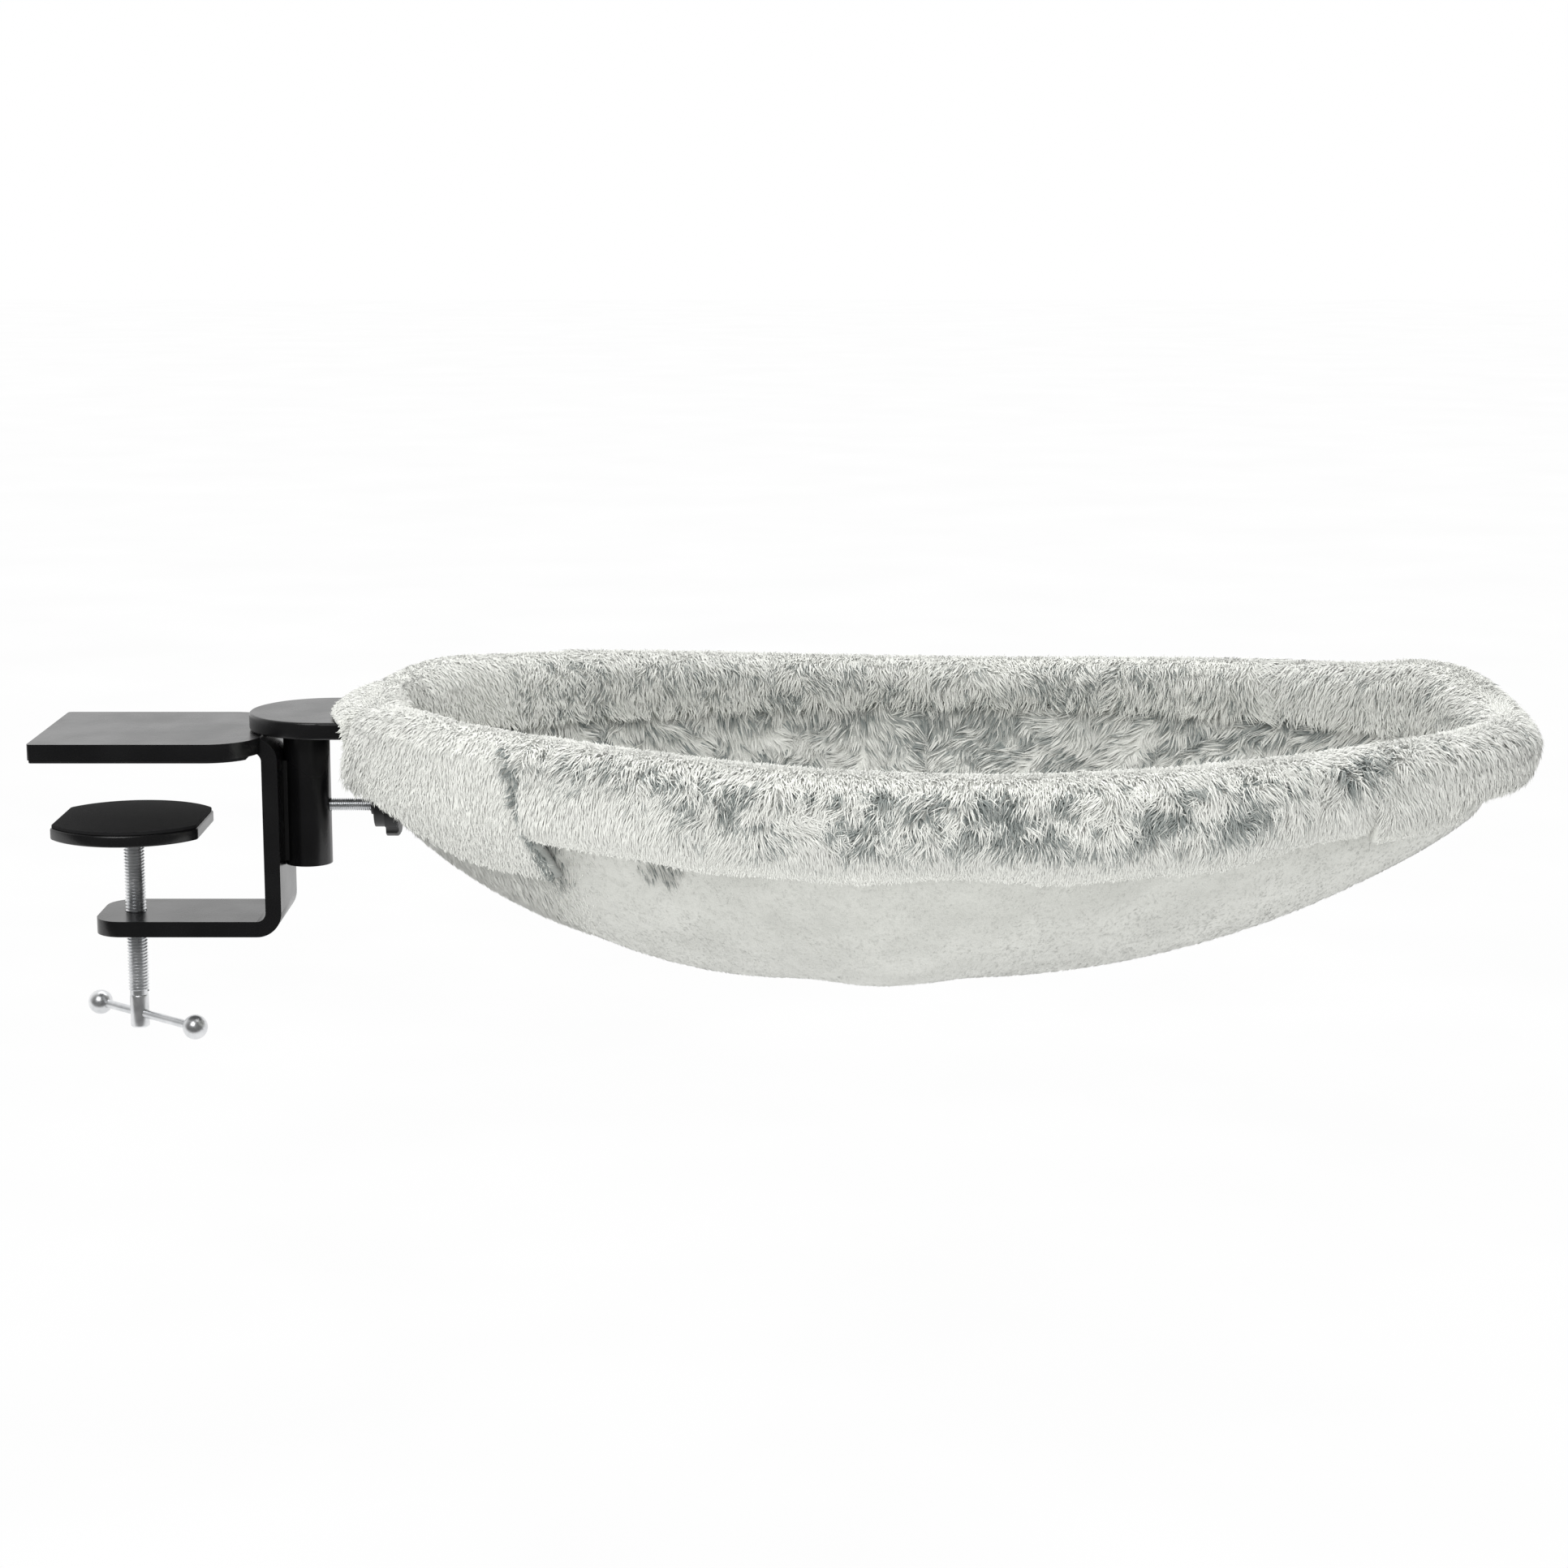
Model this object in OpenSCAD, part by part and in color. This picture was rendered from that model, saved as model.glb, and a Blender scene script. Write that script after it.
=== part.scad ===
// Clamp-on hammock for a cat: a desk clamp carries a swivel arm with an oval hoop and a plush pouch.
// Millimetres, +Z up. The origin is on the clamp screw's axis, on the gripping face under the top jaw.
// +X runs from the clamp to the hammock.

/* [Clamp] */
// Thickness of the bent steel bar
bar_t = 6; // [5:0.5:8]
// Width of the upright and of the lower arm
bar_w = 40; // [34:1:46]
// Width of the flared top jaw
jaw_w = 74; // [64:1:90]
// From the screw axis to the free end of the top jaw
jaw_reach_len = 31; // [26:1:40]
// From the screw axis to the inside of the upright
throat_depth = 53; // [50:1:65]
// Height from the gripping face down to the lower arm
jaw_open_h = 64; // [60:1:80]
// From the screw axis to the end of the lower arm
arm_reach_len = 13; // [11:1:18]
// Inside radius of the two bends
bend_r = 3.5; // [2:0.5:6]
// Radius of the shoulders of the top jaw
shoulder_r = 19; // [12:1:24]
// Corner radius at the end of the lower arm
arm_corner_r = 11; // [6:1:14]
// Thickness of the foam liner under the top jaw
liner_t = 1.2; // [0.8:0.2:2]

/* [Clamp screw] */
// Outside diameter of the screw thread
screw_d = 8; // [6:0.5:10]
// Gap between the gripping face and the pressure pad, as shown
rest_gap = 27; // [24:1:32]
// Length of screw below the lower arm, as shown
screw_tail_len = 40; // [36:1:50]
// Plain length at the end of the screw, below the thread
shank_len = 13; // [12:0.5:18]
// Diameter of the plain length
shank_d = 7.2; // [5.5:0.1:9]

/* [Pressure pad] */
// Diameter of the pad before its two sides are cut flat
pad_d = 66; // [64:1:80]
// Width of the pad between its flat sides
pad_w = 56; // [48:1:60]
// Thickness of the pad's steel plate
pad_t = 4.5; // [4:0.5:6]
// Radius of the corners between the pad's round and flat sides
pad_corner_r = 4; // [3:1:8]

/* [Cross handle] */
// Diameter of the sliding rod
rod_d = 3.2; // [2.4:0.2:4]
// Distance between the centres of the two balls
ball_span_len = 58; // [46:1:70]
// Diameter of the balls
ball_d = 9.5; // [8:0.5:12]
// How far the rod is slid towards its near ball, as shown
rod_shift_len = 4.5; // [0:0.5:8]
// Turn of the rod about the screw axis, as shown
rod_turn = -41; // [-90:1:90]

/* [Swivel] */
// Outside diameter of the socket tube
tube_d = 18; // [17:0.5:20]
// Diameter of the swivel post
post_d = 10; // [9:0.5:11]
// From the gripping face down to the lower end of the socket tube
tube_drop_h = 45; // [40:1:50]
// Thickness of the swivel arm
swivel_t = 6.5; // [5:0.5:8]
// Width of the swivel arm, which is also the diameter of its round end
swivel_w = 60; // [52:1:64]
// From the swivel axis to the tip of the round end
swivel_nose_len = 21; // [18:1:24]

/* [Lock screw] */
// From the gripping face down to the axis of the lock screw
lock_drop_h = 22.5; // [20:0.5:26]
// Outside diameter of the lock screw's thread
lock_d = 5; // [4:0.5:6]
// Bare screw between the socket tube and the knob
lock_bare_len = 15.5; // [14:0.5:18]
// Diameter of the knob's neck
neck_d = 7.5; // [6.5:0.5:10]
// Length of the knob's neck
neck_len = 1.5; // [1:0.5:3]
// Diameter of the knob's hub
hub_d = 17; // [14:0.5:18]
// Length of the knob's hub
hub_len = 4.5; // [4:0.5:6]
// Diameter of the knob's gripped head
head_d = 24; // [20:0.5:25]
// Length of the knob's gripped head
head_len = 5; // [4:0.5:6]
// Number of finger scallops round the head
scallops = 8; // [5:1:12]

/* [Hoop] */
// Length of the hoop along its bar's centre line
hoop_len = 427; // [400:1:480]
// Width of the hoop along its bar's centre line
hoop_w = 272; // [260:1:300]
// Radius of the hoop's two ends
hoop_end_r = 95; // [88:1:105]
// Diameter of the hoop's round bar
hoop_d = 10; // [8:0.5:12]
// From the swivel axis to the centre line at the arm end of the hoop
hoop_start_len = 27; // [26:1:32]

/* [Plush] */
// Depth of the pouch below the hoop's centre line
pouch_depth = 91; // [70:1:110]
// Near-upright drop of the pouch under the hoop
pouch_drop_h = 12; // [10:1:16]
// Thickness of the outer pouch cloth with its short pile
pouch_t = 4; // [3:0.5:5]
// Thickness of the lining cloth with its flattened pile
lining_t = 4; // [3:0.5:5]
// Thickness of the turned-over flaps
flap_t = 6; // [5:0.5:8]
// From the hoop's centre line down to the hem of the side flaps
side_hem_h = 25; // [20:1:32]
// From the hoop's centre line down to the hem of the end flaps
end_hem_h = 18; // [16:1:26]
// How far the flaps bulge out above their hem
flap_bulge_w = 3.5; // [2:0.5:6]
// How much higher the flaps stand at the four corners of the hoop
corner_rise_h = 6; // [0:0.5:9]
// How much higher still the fold at the far back corner stands
fold_rise_h = 7; // [0:0.5:9]
// How much higher the flaps stand at the arm end
arm_rise_h = 6.5; // [0:0.5:9]
// Height of the soft waves along the flaps and the pouch
wave_h = 1.2; // [0:0.1:2]

/* [Hidden] */

$fn = 72;
steel_black = "#1c1c1e";
foam_black = "#2a2a2c";
zinc = "#b9bcc0";
plastic_black = "#161617";
nylon = "#e8e6df";
plush_short = "#dcded9";
plush_long = "#d5d8d2";

// Overrun of every cut
over = 1;
// Running gap between pieces that turn or slide on each other
run_gap = 0.1;
// Gap of a pressed or welded seat
seat_gap = 0.05;
// Gap between soft pieces and what carries them
soft_gap = 0.4;

// Clamp heights and the place of the socket tube
jaw_z = liner_t;
jaw_top = jaw_z + bar_t;
arm_z = -jaw_open_h;
bend_out = bend_r + bar_t;
upright_x = throat_depth + bar_t;
// The socket tube has a narrow flat where it is welded to the upright
weld_flat = 0.8;
tube_r = tube_d / 2;
pivot_x = upright_x + tube_r - weld_flat;
bead_r = 3;
bead_inset = 2;
liner_inset = 0.5;
corner_r = 1.5;

// Swivel heights
arm_gap = 0.4;
swivel_z = jaw_top + arm_gap;
tube_top = swivel_z - run_gap;
post_r = post_d / 2;
post_clear_h = 5;
groove_depth = 0.6;
groove_h = 8;
lock_z = -lock_drop_h;
post_weld_r = 1.4;
mouth_h = 2;

// Pad and screw heights
pad_top = -rest_gap;
pad_liner_t = 1.2;
pad_liner_inset = 0.6;
pad_plate_z = pad_top - pad_liner_t - pad_t;
rivet_neck_share = 0.62;
rivet_neck_d = screw_d * rivet_neck_share;
rivet_head_d = screw_d;
rivet_head_t = 1.4;
screw_end = arm_z - bar_t - screw_tail_len;
shank_z = screw_end + shank_len;
shank_chamfer = 0.8;
rod_end_len = 5.5;
rod_z = screw_end + rod_end_len;
rod_r = rod_d / 2;

// Lock screw places along X
tip_x = pivot_x + post_r - groove_depth + seat_gap;
tip_len = 1.8;
tip_d = lock_d - 2 * seat_gap;
lock_x = tip_x + tip_len + seat_gap;
neck_x = pivot_x + tube_r + lock_bare_len;
hub_x = neck_x + neck_len;
head_x = hub_x + hub_len;
knob_end = head_x + head_len;
knob_wall = 2;
scallop_share = 0.22;
scallop_out_share = 0.28;
scallop_d = head_d * scallop_share;
knob_edge = 0.8;
// The knob backs out this far when the swivel is set free
lock_travel_len = 1.6;
knob_reach = norm([knob_end + lock_travel_len - pivot_x, head_d / 2]);

// Hoop places
hoop_r = hoop_d / 2;
hoop_z = swivel_z - hoop_r - seat_gap;
hoop_x = pivot_x + hoop_start_len + hoop_len / 2;
hoop_a = hoop_len / 2;
hoop_b = hoop_w / 2;
end_c = hoop_a - hoop_end_r;
side_r = (end_c * end_c + hoop_b * hoop_b - hoop_end_r * hoop_end_r) / (2 * (hoop_b - hoop_end_r));
side_c = side_r - hoop_b;
turn = atan2(side_c, end_c);
weld_r = 2;
weld_span_share = 0.8;

// Plush: the pouch hangs lowest a little nearer the arm than the hoop's middle
low_shift_len = 31;
pouch_power_share = 0.76;
rim_step_w = 2;
tuck_w = 10.5;
rim_lean_share = 0.6;
tuck_drop_share = 2;
knob_room_w = 3.5;
inner_hem_h = 6;
arch = [0, 30, 60, 90, 120, 150, 180];
flap_in = (hoop_r + soft_gap) / cos(arch[1] / 2);
flap_out = flap_in + flap_t;
slot_reach_len = 4;
arm_slot = swivel_w / 2 + soft_gap;
flap_apart_w = 1.2;
hem_lift_share = 0.18;
slot_hem_share = 0.3;
far_hem_share = 0.6;
far_hem_spread = 20;
front_rise_share = 0.6;
fold_at = 26;
fold_spread = 36;
// The rise at the arm end is level up to the first direction and has gone at the second
arm_rise_level = 30;
arm_rise_spread = 100;
lean_share = 0.8;
// Shape of a flap's outer leg: flare at the hem, height of the bulge, bulge left at the top
hem_flare_share = 0.3;
hem_wave_share = 0.4;
bulge_at_share = 0.45;
top_bulge_share = 0.35;
// Over the swivel arm the flap thins to its end in two steps
slot_thin_share = 0.8;
slot_ease_share = 0.3;

// Where the flaps meet, as directions of the hoop's outward normal
side_from = 60;
side_steps = 20;
end_steps = 18;
pouch_waves = 9;
flap_waves = 8;

hoop_sides = 14;

// The hoop's centre line and its outward normal, by the direction of that normal
function wrap(a) = a - 360 * floor(a / 360);
function on_end(a) = abs(cos(a)) > cos(turn);
function hoop_point(a) =
    on_end(a)
        ? [hoop_x + sign(cos(a)) * end_c + hoop_end_r * cos(a), hoop_end_r * sin(a)]
        : [hoop_x + side_r * cos(a), side_r * sin(a) - sign(sin(a)) * side_c];
function outward(a) = [cos(a), sin(a)];
function smooth(x) = let (t = min(1, max(0, x))) t * t * (3 - 2 * t);

// How near a direction is to the arm end: 1 in line with the arm, 0 from the given spread on
function arm_near(a, spread) = smooth(1 - abs(wrap(a) - 180) / spread);

// A point is moved out from the swivel axis until it clears the sweep of the lock knob
function clear_knob(p, reach) =
    let (d = [p[0] - pivot_x, p[1]], far = norm(d))
    far >= reach ? p : [pivot_x + d[0] * reach / far, d[1] * reach / far, p[2]];

// Triangles of a grid of rows that close round; the outside is on the right of rising columns
function ring_faces(rows, cols, first) = [
    for (i = [0 : rows - 2], j = [0 : cols - 1])
        let (k = (j + 1) % cols, p = first + i * cols, q = p + cols)
        each [[p + j, p + k, q + k], [p + j, q + k, q + j]]
];
function flipped(faces) = [for (f = faces) [f[2], f[1], f[0]]];

// Directions at even steps round the hoop's four arcs
function round_hoop(steps) = [
    for (i = [0 : steps - 1]) -turn + i * 2 * turn / steps,
    for (i = [0 : 2 * steps - 1]) turn + i * (90 - turn) / steps,
    for (i = [0 : steps - 1]) 180 - turn + i * 2 * turn / steps,
    for (i = [0 : 2 * steps - 1]) 180 + turn + i * (90 - turn) / steps
];
// One layer of the hanging pouch, as deep as inset below the outer face of the cloth
columns = round_hoop(8);
row_shares = [0.965, 0.92, 0.85, 0.76, 0.65, 0.52, 0.36, 0.19];
low_x = hoop_x - low_shift_len;
function sag(share) =
    pouch_drop_h + (pouch_depth - pouch_drop_h) * pow(1 - share * share, pouch_power_share);
function pouch_wave(a, share) = wave_h * sin(pouch_waves * a) * share * (1 - share) * 4;
function rim_point(a, inset, drop) =
    let (
        near = arm_near(a, side_from),
        n = rim_step_w - inset - drop * rim_lean_share - tuck_w * near,
        under = (inner_hem_h - hoop_r) * min(1, tuck_drop_share * near),
        p = hoop_point(a) + outward(a) * n
    )
    [p[0], p[1], hoop_z - hoop_r - soft_gap - max(drop, under)];
function layer_point(a, share, inset) =
    let (
        rim = hoop_point(a),
        lean = share * share,
        p = [low_x, 0] + (rim - [low_x, 0]) * share - outward(a) * inset * lean,
        z = hoop_z - sag(share) + inset * (1 - lean * lean_share) + pouch_wave(a, share)
    )
    clear_knob([p[0], p[1], z], knob_reach + knob_room_w + inset);
function layer_points(inset, drop) = [
    for (a = columns) rim_point(a, inset, drop),
    for (s = row_shares, a = columns) layer_point(a, s, inset)
];
function layer_low(inset) = [low_x, 0, hoop_z - pouch_depth + inset];

module pouch_layer(from, to, drop) {
    rows = len(row_shares) + 1;
    cols = len(columns);
    size = rows * cols;
    out_low = 2 * size;
    in_low = out_low + 1;
    last = (rows - 1) * cols;
    points = concat(layer_points(from, drop), layer_points(to, drop), [layer_low(from), layer_low(to)]);
    rim = [
        for (j = [0 : cols - 1]) let (k = (j + 1) % cols)
            each [[j, size + j, size + k], [j, size + k, k]]
    ];
    caps = [
        for (j = [0 : cols - 1]) let (k = (j + 1) % cols)
            each [[last + j, last + k, out_low], [size + last + k, size + last + j, in_low]]
    ];
    polyhedron(points, concat(ring_faces(rows, cols, 0), flipped(ring_faces(rows, cols, size)), rim, caps));
}

// A turned-over flap, swept along the hoop. Each station gives matching outer and inner contours.
slot_top = swivel_t + soft_gap;
function flap_contour(r, hem, lift, wave) = concat(
    [
        [r + wave * hem_wave_share + flap_bulge_w * hem_flare_share, -hem],
        [r + wave + flap_bulge_w, -hem * bulge_at_share]
    ],
    [for (t = arch) [r * cos(t) + flap_bulge_w * top_bulge_share * max(0, cos(t)), lift + r * sin(t)]],
    [[-r, -inner_hem_h]]
);
// The flaps stand highest at the corners, more so at the back, and at the arm end
function rise(a) =
    let (
        share = (1 + front_rise_share + (1 - front_rise_share) * sin(a)) / 2,
        from_arm = abs(wrap(a) - 180)
    )
    corner_rise_h * share * (1 - cos(4 * a)) / 2
        + fold_rise_h * smooth(1 - abs(wrap(a + 180) - 180 - fold_at) / fold_spread)
        + arm_rise_h * smooth((arm_rise_spread - from_arm) / (arm_rise_spread - arm_rise_level));
// The hem is highest where a side flap ends, beside the slot for the arm and round the far end
function side_fall(a) = 1 - hem_lift_share * pow(cos(a) / cos(side_from), 2);
function end_fall(a) =
    1 - (1 - slot_hem_share) * arm_near(a, side_from)
        - (1 - far_hem_share) * smooth((side_from - abs(wrap(a + 180) - 180)) / far_hem_spread);
// Over the swivel arm the flap lies flat on the steel and ends there
function slot_contour(r, out) = let (z = hoop_r + slot_top + out * flap_t) concat(
    [
        [flap_out + slot_reach_len, z - out * flap_t * slot_thin_share],
        [flap_out, z - out * flap_t * slot_ease_share]
    ],
    [for (t = arch) [r * cos(t), z]],
    [[-r, -inner_hem_h]]
);
function flap_points(stations, hem) = [
    for (s = [0 : len(stations) - 1])
        let (
            a = stations[s],
            p = hoop_point(a),
            n = outward(a),
            slot = abs(wrap(a) - 180) < slot_turn,
            wave = wave_h * sin(flap_waves * a),
            up = rise(a),
            fall = on_end(a) ? end_fall(a) : side_fall(a),
            outer = slot ? slot_contour(flap_out, 1) : flap_contour(flap_out, hem * fall, up, wave),
            inner = slot ? slot_contour(flap_in, 0) : flap_contour(flap_in, hem * fall, up, wave),
            loop = concat(outer, [for (i = [len(inner) - 1 : -1 : 0]) inner[i]])
        )
        for (c = loop) [p[0] + n[0] * c[0], p[1] + n[1] * c[0], hoop_z + c[1]]
];

module flap(stations, hem) {
    half = len(arch) + 3;
    loop = 2 * half;
    last = (len(stations) - 1) * loop;
    sides = [
        for (s = [0 : len(stations) - 2], i = [0 : loop - 1])
            let (k = (i + 1) % loop, p = s * loop, q = p + loop)
            each [[p + i, p + k, q + k], [p + i, q + k, q + i]]
    ];
    ends = [
        for (i = [0 : half - 2])
            let (b = loop - 1 - i, c = loop - 2 - i)
            each [
                [i, b, c], [i, c, i + 1],
                [last + i, last + i + 1, last + c], [last + i, last + c, last + b]
            ]
    ];
    polyhedron(flap_points(stations, hem), concat(sides, ends));
}

function spread_between(from, to, steps) = [for (i = [0 : steps]) from + (to - from) * i / steps];
// The hoop's normal turns this much over half the gap between two flaps
flap_gap_turn = flap_apart_w / side_r * 90 / PI;
side_lo = side_from + flap_gap_turn;
side_hi = 180 - side_lo;
end_lo = side_from - flap_gap_turn;
// Two stations stand close together at each side of the arm's slot
slot_turn = asin(arm_slot / (hoop_end_r - flap_in));
slot_step = flap_apart_w / hoop_end_r * 180 / PI;
arm_side = spread_between(slot_turn + slot_step, end_lo, 5);
arm_stations = concat(
    [for (i = [len(arm_side) - 1 : -1 : 0]) 180 - arm_side[i]],
    spread_between(180 - slot_turn + slot_step / 4, 180 + slot_turn - slot_step / 4, 6),
    [for (a = arm_side) 180 + a]
);

// Flat outlines
module rounded_strip(x0, x1, w, r0) {
    translate([x0 + r0, -w / 2]) square([x1 - x0 - r0, w]);
    translate([x0, r0 - w / 2]) square([r0 + over, w - 2 * r0]);
    for (s = [-1, 1]) translate([x0 + r0, s * (w / 2 - r0)]) circle(r0);
}
module jaw_outline(inset) {
    r = shoulder_r - inset;
    to_x = throat_depth - shoulder_r;
    half = jaw_w / 2 - inset;
    rounded_strip(inset - jaw_reach_len, to_x, 2 * half, corner_r - inset);
    for (s = [-1, 1]) translate([to_x, s * (half - r)]) circle(r);
    translate([to_x - over, r - half]) square([r + over, 2 * (half - r)]);
}
// Side view of one bend between a flat strip and the upright, with its corner at the origin
module bend_profile() {
    difference() {
        translate([-bend_out, 0]) square(bend_out);
        translate([-bend_out, bend_out]) circle(bend_r);
        difference() {
            square([2 * bend_out, 2 * bend_out], center = true);
            translate([-bend_out, bend_out]) circle(bend_out);
            translate([-2 * bend_out, bend_out]) square([2 * bend_out, bend_out]);
            translate([-2 * bend_out, 0]) square([bend_out, bend_out]);
        }
    }
}
module upright_profile() {
    translate([throat_depth, arm_z - bar_t + bend_out])
        square([bar_t, jaw_top - arm_z + bar_t - 2 * bend_out]);
    translate([upright_x, arm_z - bar_t]) bend_profile();
    translate([upright_x, jaw_top]) mirror([0, 1]) bend_profile();
    translate([upright_x - bend_out - bar_t, jaw_z]) square([bar_t + seat_gap, bar_t]);
    translate([upright_x - bend_out - bar_t, arm_z - bar_t]) square([bar_t + seat_gap, bar_t]);
}
module along_y(w) {
    translate([0, w / 2, 0]) rotate([90, 0, 0]) linear_extrude(w) children();
}
module along_x(x) {
    translate([x, 0, lock_z]) rotate([0, 90, 0]) children();
}

// Steel clamp bent from one flat bar, with the flared jaw and the tapped lower arm
module clamp_frame() {
    color(steel_black) difference() {
        union() {
            translate([0, 0, jaw_z]) linear_extrude(bar_t) jaw_outline(0);
            along_y(bar_w) upright_profile();
            translate([0, 0, arm_z - bar_t]) linear_extrude(bar_t)
                rounded_strip(-arm_reach_len, upright_x - bend_out, bar_w, arm_corner_r);
        }
        translate([0, 0, arm_z - bar_t - over]) cylinder(d = screw_d + 2 * run_gap, h = bar_t + 2 * over);
    }
}
module socket_tube() {
    height = tube_top + tube_drop_h;
    color(steel_black) difference() {
        translate([pivot_x, 0, -tube_drop_h]) cylinder(r = tube_r, h = height);
        translate([pivot_x, 0, -tube_drop_h - over]) cylinder(r = post_r + run_gap, h = height + 2 * over);
        translate([pivot_x, 0, tube_top - mouth_h])
            cylinder(r1 = post_r + run_gap, r2 = post_r + run_gap + mouth_h + over, h = mouth_h + over);
        translate([upright_x + seat_gap - tube_d, -tube_r, -tube_drop_h - over])
            cube([tube_d, tube_d, height + 2 * over]);
        along_x(pivot_x) cylinder(d = lock_d + 2 * run_gap, h = tube_d);
    }
}
// Two weld beads in the corners between the tube and the upright
module tube_welds() {
    half_flat = sqrt(tube_r * tube_r - (tube_r - weld_flat) * (tube_r - weld_flat));
    bead_z = -tube_drop_h + bead_inset;
    color(steel_black) translate([0, 0, bead_z])
        linear_extrude(jaw_top - bend_out - bead_inset - bead_z) difference() {
            for (s = [-1, 1]) translate([upright_x + seat_gap, s * half_flat]) circle(bead_r);
            translate([pivot_x, 0]) circle(tube_r + seat_gap);
            translate([upright_x + seat_gap - tube_d, -tube_d]) square([tube_d, 2 * tube_d]);
        }
}
module jaw_liner() {
    to_x = throat_depth - bend_r - liner_inset;
    color(foam_black) linear_extrude(liner_t) intersection() {
        jaw_outline(liner_inset);
        translate([-jaw_reach_len, -jaw_w / 2]) square([jaw_reach_len + to_x, jaw_w]);
    }
}

// Disc with two flat sides and round corners
module pad_outline(inset) {
    r = pad_d / 2 - inset;
    half = pad_w / 2 - inset;
    c = pad_corner_r - inset;
    at_x = half - c;
    at_y = sqrt((r - c) * (r - c) - at_x * at_x);
    intersection() {
        circle(r);
        square([2 * at_x * r / (r - c), 2 * r], center = true);
    }
    square([2 * half, 2 * at_y], center = true);
    for (x = [-at_x, at_x], y = [-at_y, at_y]) translate([x, y]) circle(c);
}
// Pressure plate with a stepped hole for the riveted end of the screw
module pressure_plate() {
    head_z = pad_plate_z + pad_t - rivet_head_t - 2 * run_gap;
    color(steel_black) difference() {
        translate([0, 0, pad_plate_z]) linear_extrude(pad_t) pad_outline(0);
        translate([0, 0, pad_plate_z - over]) cylinder(d = rivet_neck_d + 2 * run_gap, h = pad_t + 2 * over);
        translate([0, 0, head_z]) cylinder(d = rivet_head_d + 2 * run_gap, h = pad_t);
    }
}
module pad_liner() {
    color(foam_black) translate([0, 0, pad_top - pad_liner_t])
        linear_extrude(pad_liner_t) pad_outline(pad_liner_inset);
}
// Clamp screw: threaded length, plain drilled end and a riveted tip that turns in the pad
module clamp_screw() {
    neck_top = pad_plate_z + pad_t - rivet_head_t - run_gap;
    color(zinc) difference() {
        union() {
            translate([0, 0, shank_z]) cylinder(d = screw_d, h = pad_plate_z - run_gap - shank_z);
            translate([0, 0, screw_end + shank_chamfer]) cylinder(d = shank_d, h = shank_len);
            translate([0, 0, screw_end])
                cylinder(d1 = shank_d - 2 * shank_chamfer, d2 = shank_d, h = shank_chamfer);
            translate([0, 0, shank_z]) cylinder(d = rivet_neck_d, h = neck_top - shank_z);
            translate([0, 0, neck_top]) cylinder(d = rivet_head_d, h = rivet_head_t);
        }
        translate([0, 0, rod_z]) rotate([0, 0, rod_turn]) rotate([0, 90, 0])
            cylinder(d = rod_d + 2 * run_gap, h = 2 * screw_d, center = true);
    }
}

module along_rod(shift) {
    translate([0, 0, rod_z]) rotate([0, 0, rod_turn]) rotate([0, 90, 0]) translate([0, 0, shift]) children();
}
module handle_rod() {
    color(zinc) along_rod(rod_shift_len) cylinder(r = rod_r, h = ball_span_len, center = true);
}
// Balls are drilled to their centre and pressed on the rod
module handle_ball(side) {
    color(zinc) along_rod(rod_shift_len + side * ball_span_len / 2) difference() {
        sphere(d = ball_d);
        rotate([0, 90 - side * 90, 0]) mirror([0, 0, 1]) translate([0, 0, -seat_gap])
            cylinder(r = rod_r + seat_gap, h = ball_d);
    }
}
module handle_ball_near() { handle_ball(1); }
module handle_ball_far() { handle_ball(-1); }

// Nylon tip that bears on the post's groove and slides without turning
module lock_tip() {
    color(nylon) along_x(tip_x) cylinder(d = tip_d, h = tip_len);
}
module lock_screw() {
    color(zinc) along_x(lock_x) cylinder(d = lock_d, h = knob_end - knob_wall - lock_x);
}
// Stepped moulded knob with finger scallops
module lock_knob() {
    color(plastic_black) difference() {
        union() {
            along_x(neck_x) cylinder(d = neck_d, h = neck_len + hub_len);
            along_x(hub_x) cylinder(d = hub_d, h = hub_len + knob_wall);
            along_x(head_x) cylinder(d = head_d, h = head_len - knob_edge);
            along_x(knob_end - knob_edge) cylinder(d1 = head_d, d2 = head_d - 2 * knob_edge, h = knob_edge);
        }
        for (i = [0 : scallops - 1])
            along_x(head_x - over) rotate([0, 0, i * 360 / scallops])
                translate([head_d / 2 + scallop_d * scallop_out_share, 0, 0])
                    cylinder(d = scallop_d, h = head_len + 2 * over);
        along_x(neck_x - over) cylinder(d = lock_d + 2 * seat_gap, h = knob_end - knob_wall - neck_x + over);
    }
}

// Flat arm with a round nose over the socket and an end that follows the hoop
module swivel_arm() {
    nose_x = pivot_x - swivel_nose_len + swivel_w / 2;
    color(steel_black) translate([0, 0, swivel_z]) linear_extrude(swivel_t) difference() {
        union() {
            translate([nose_x, 0]) circle(d = swivel_w);
            translate([nose_x, -swivel_w / 2]) square([hoop_x - hoop_a + hoop_end_r - nose_x, swivel_w]);
        }
        translate([hoop_x - end_c, 0]) circle(hoop_end_r - hoop_r);
    }
}
module swivel_post() {
    length = swivel_z + tube_drop_h - post_clear_h;
    color(zinc) difference() {
        translate([pivot_x, 0, swivel_z - length]) cylinder(r = post_r, h = length);
        translate([pivot_x, 0, lock_z - groove_h / 2]) difference() {
            cylinder(r = post_r + over, h = groove_h);
            translate([0, 0, -over]) cylinder(r = post_r - groove_depth, h = groove_h + 2 * over);
        }
    }
}
// Ring weld between the post and the arm, inside the chamfered mouth of the socket
module post_weld() {
    color(steel_black) translate([pivot_x, 0, swivel_z - seat_gap]) rotate_extrude()
        translate([post_r + seat_gap, 0]) polygon([[0, 0], [0, -post_weld_r], [post_weld_r, 0]]);
}

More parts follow.
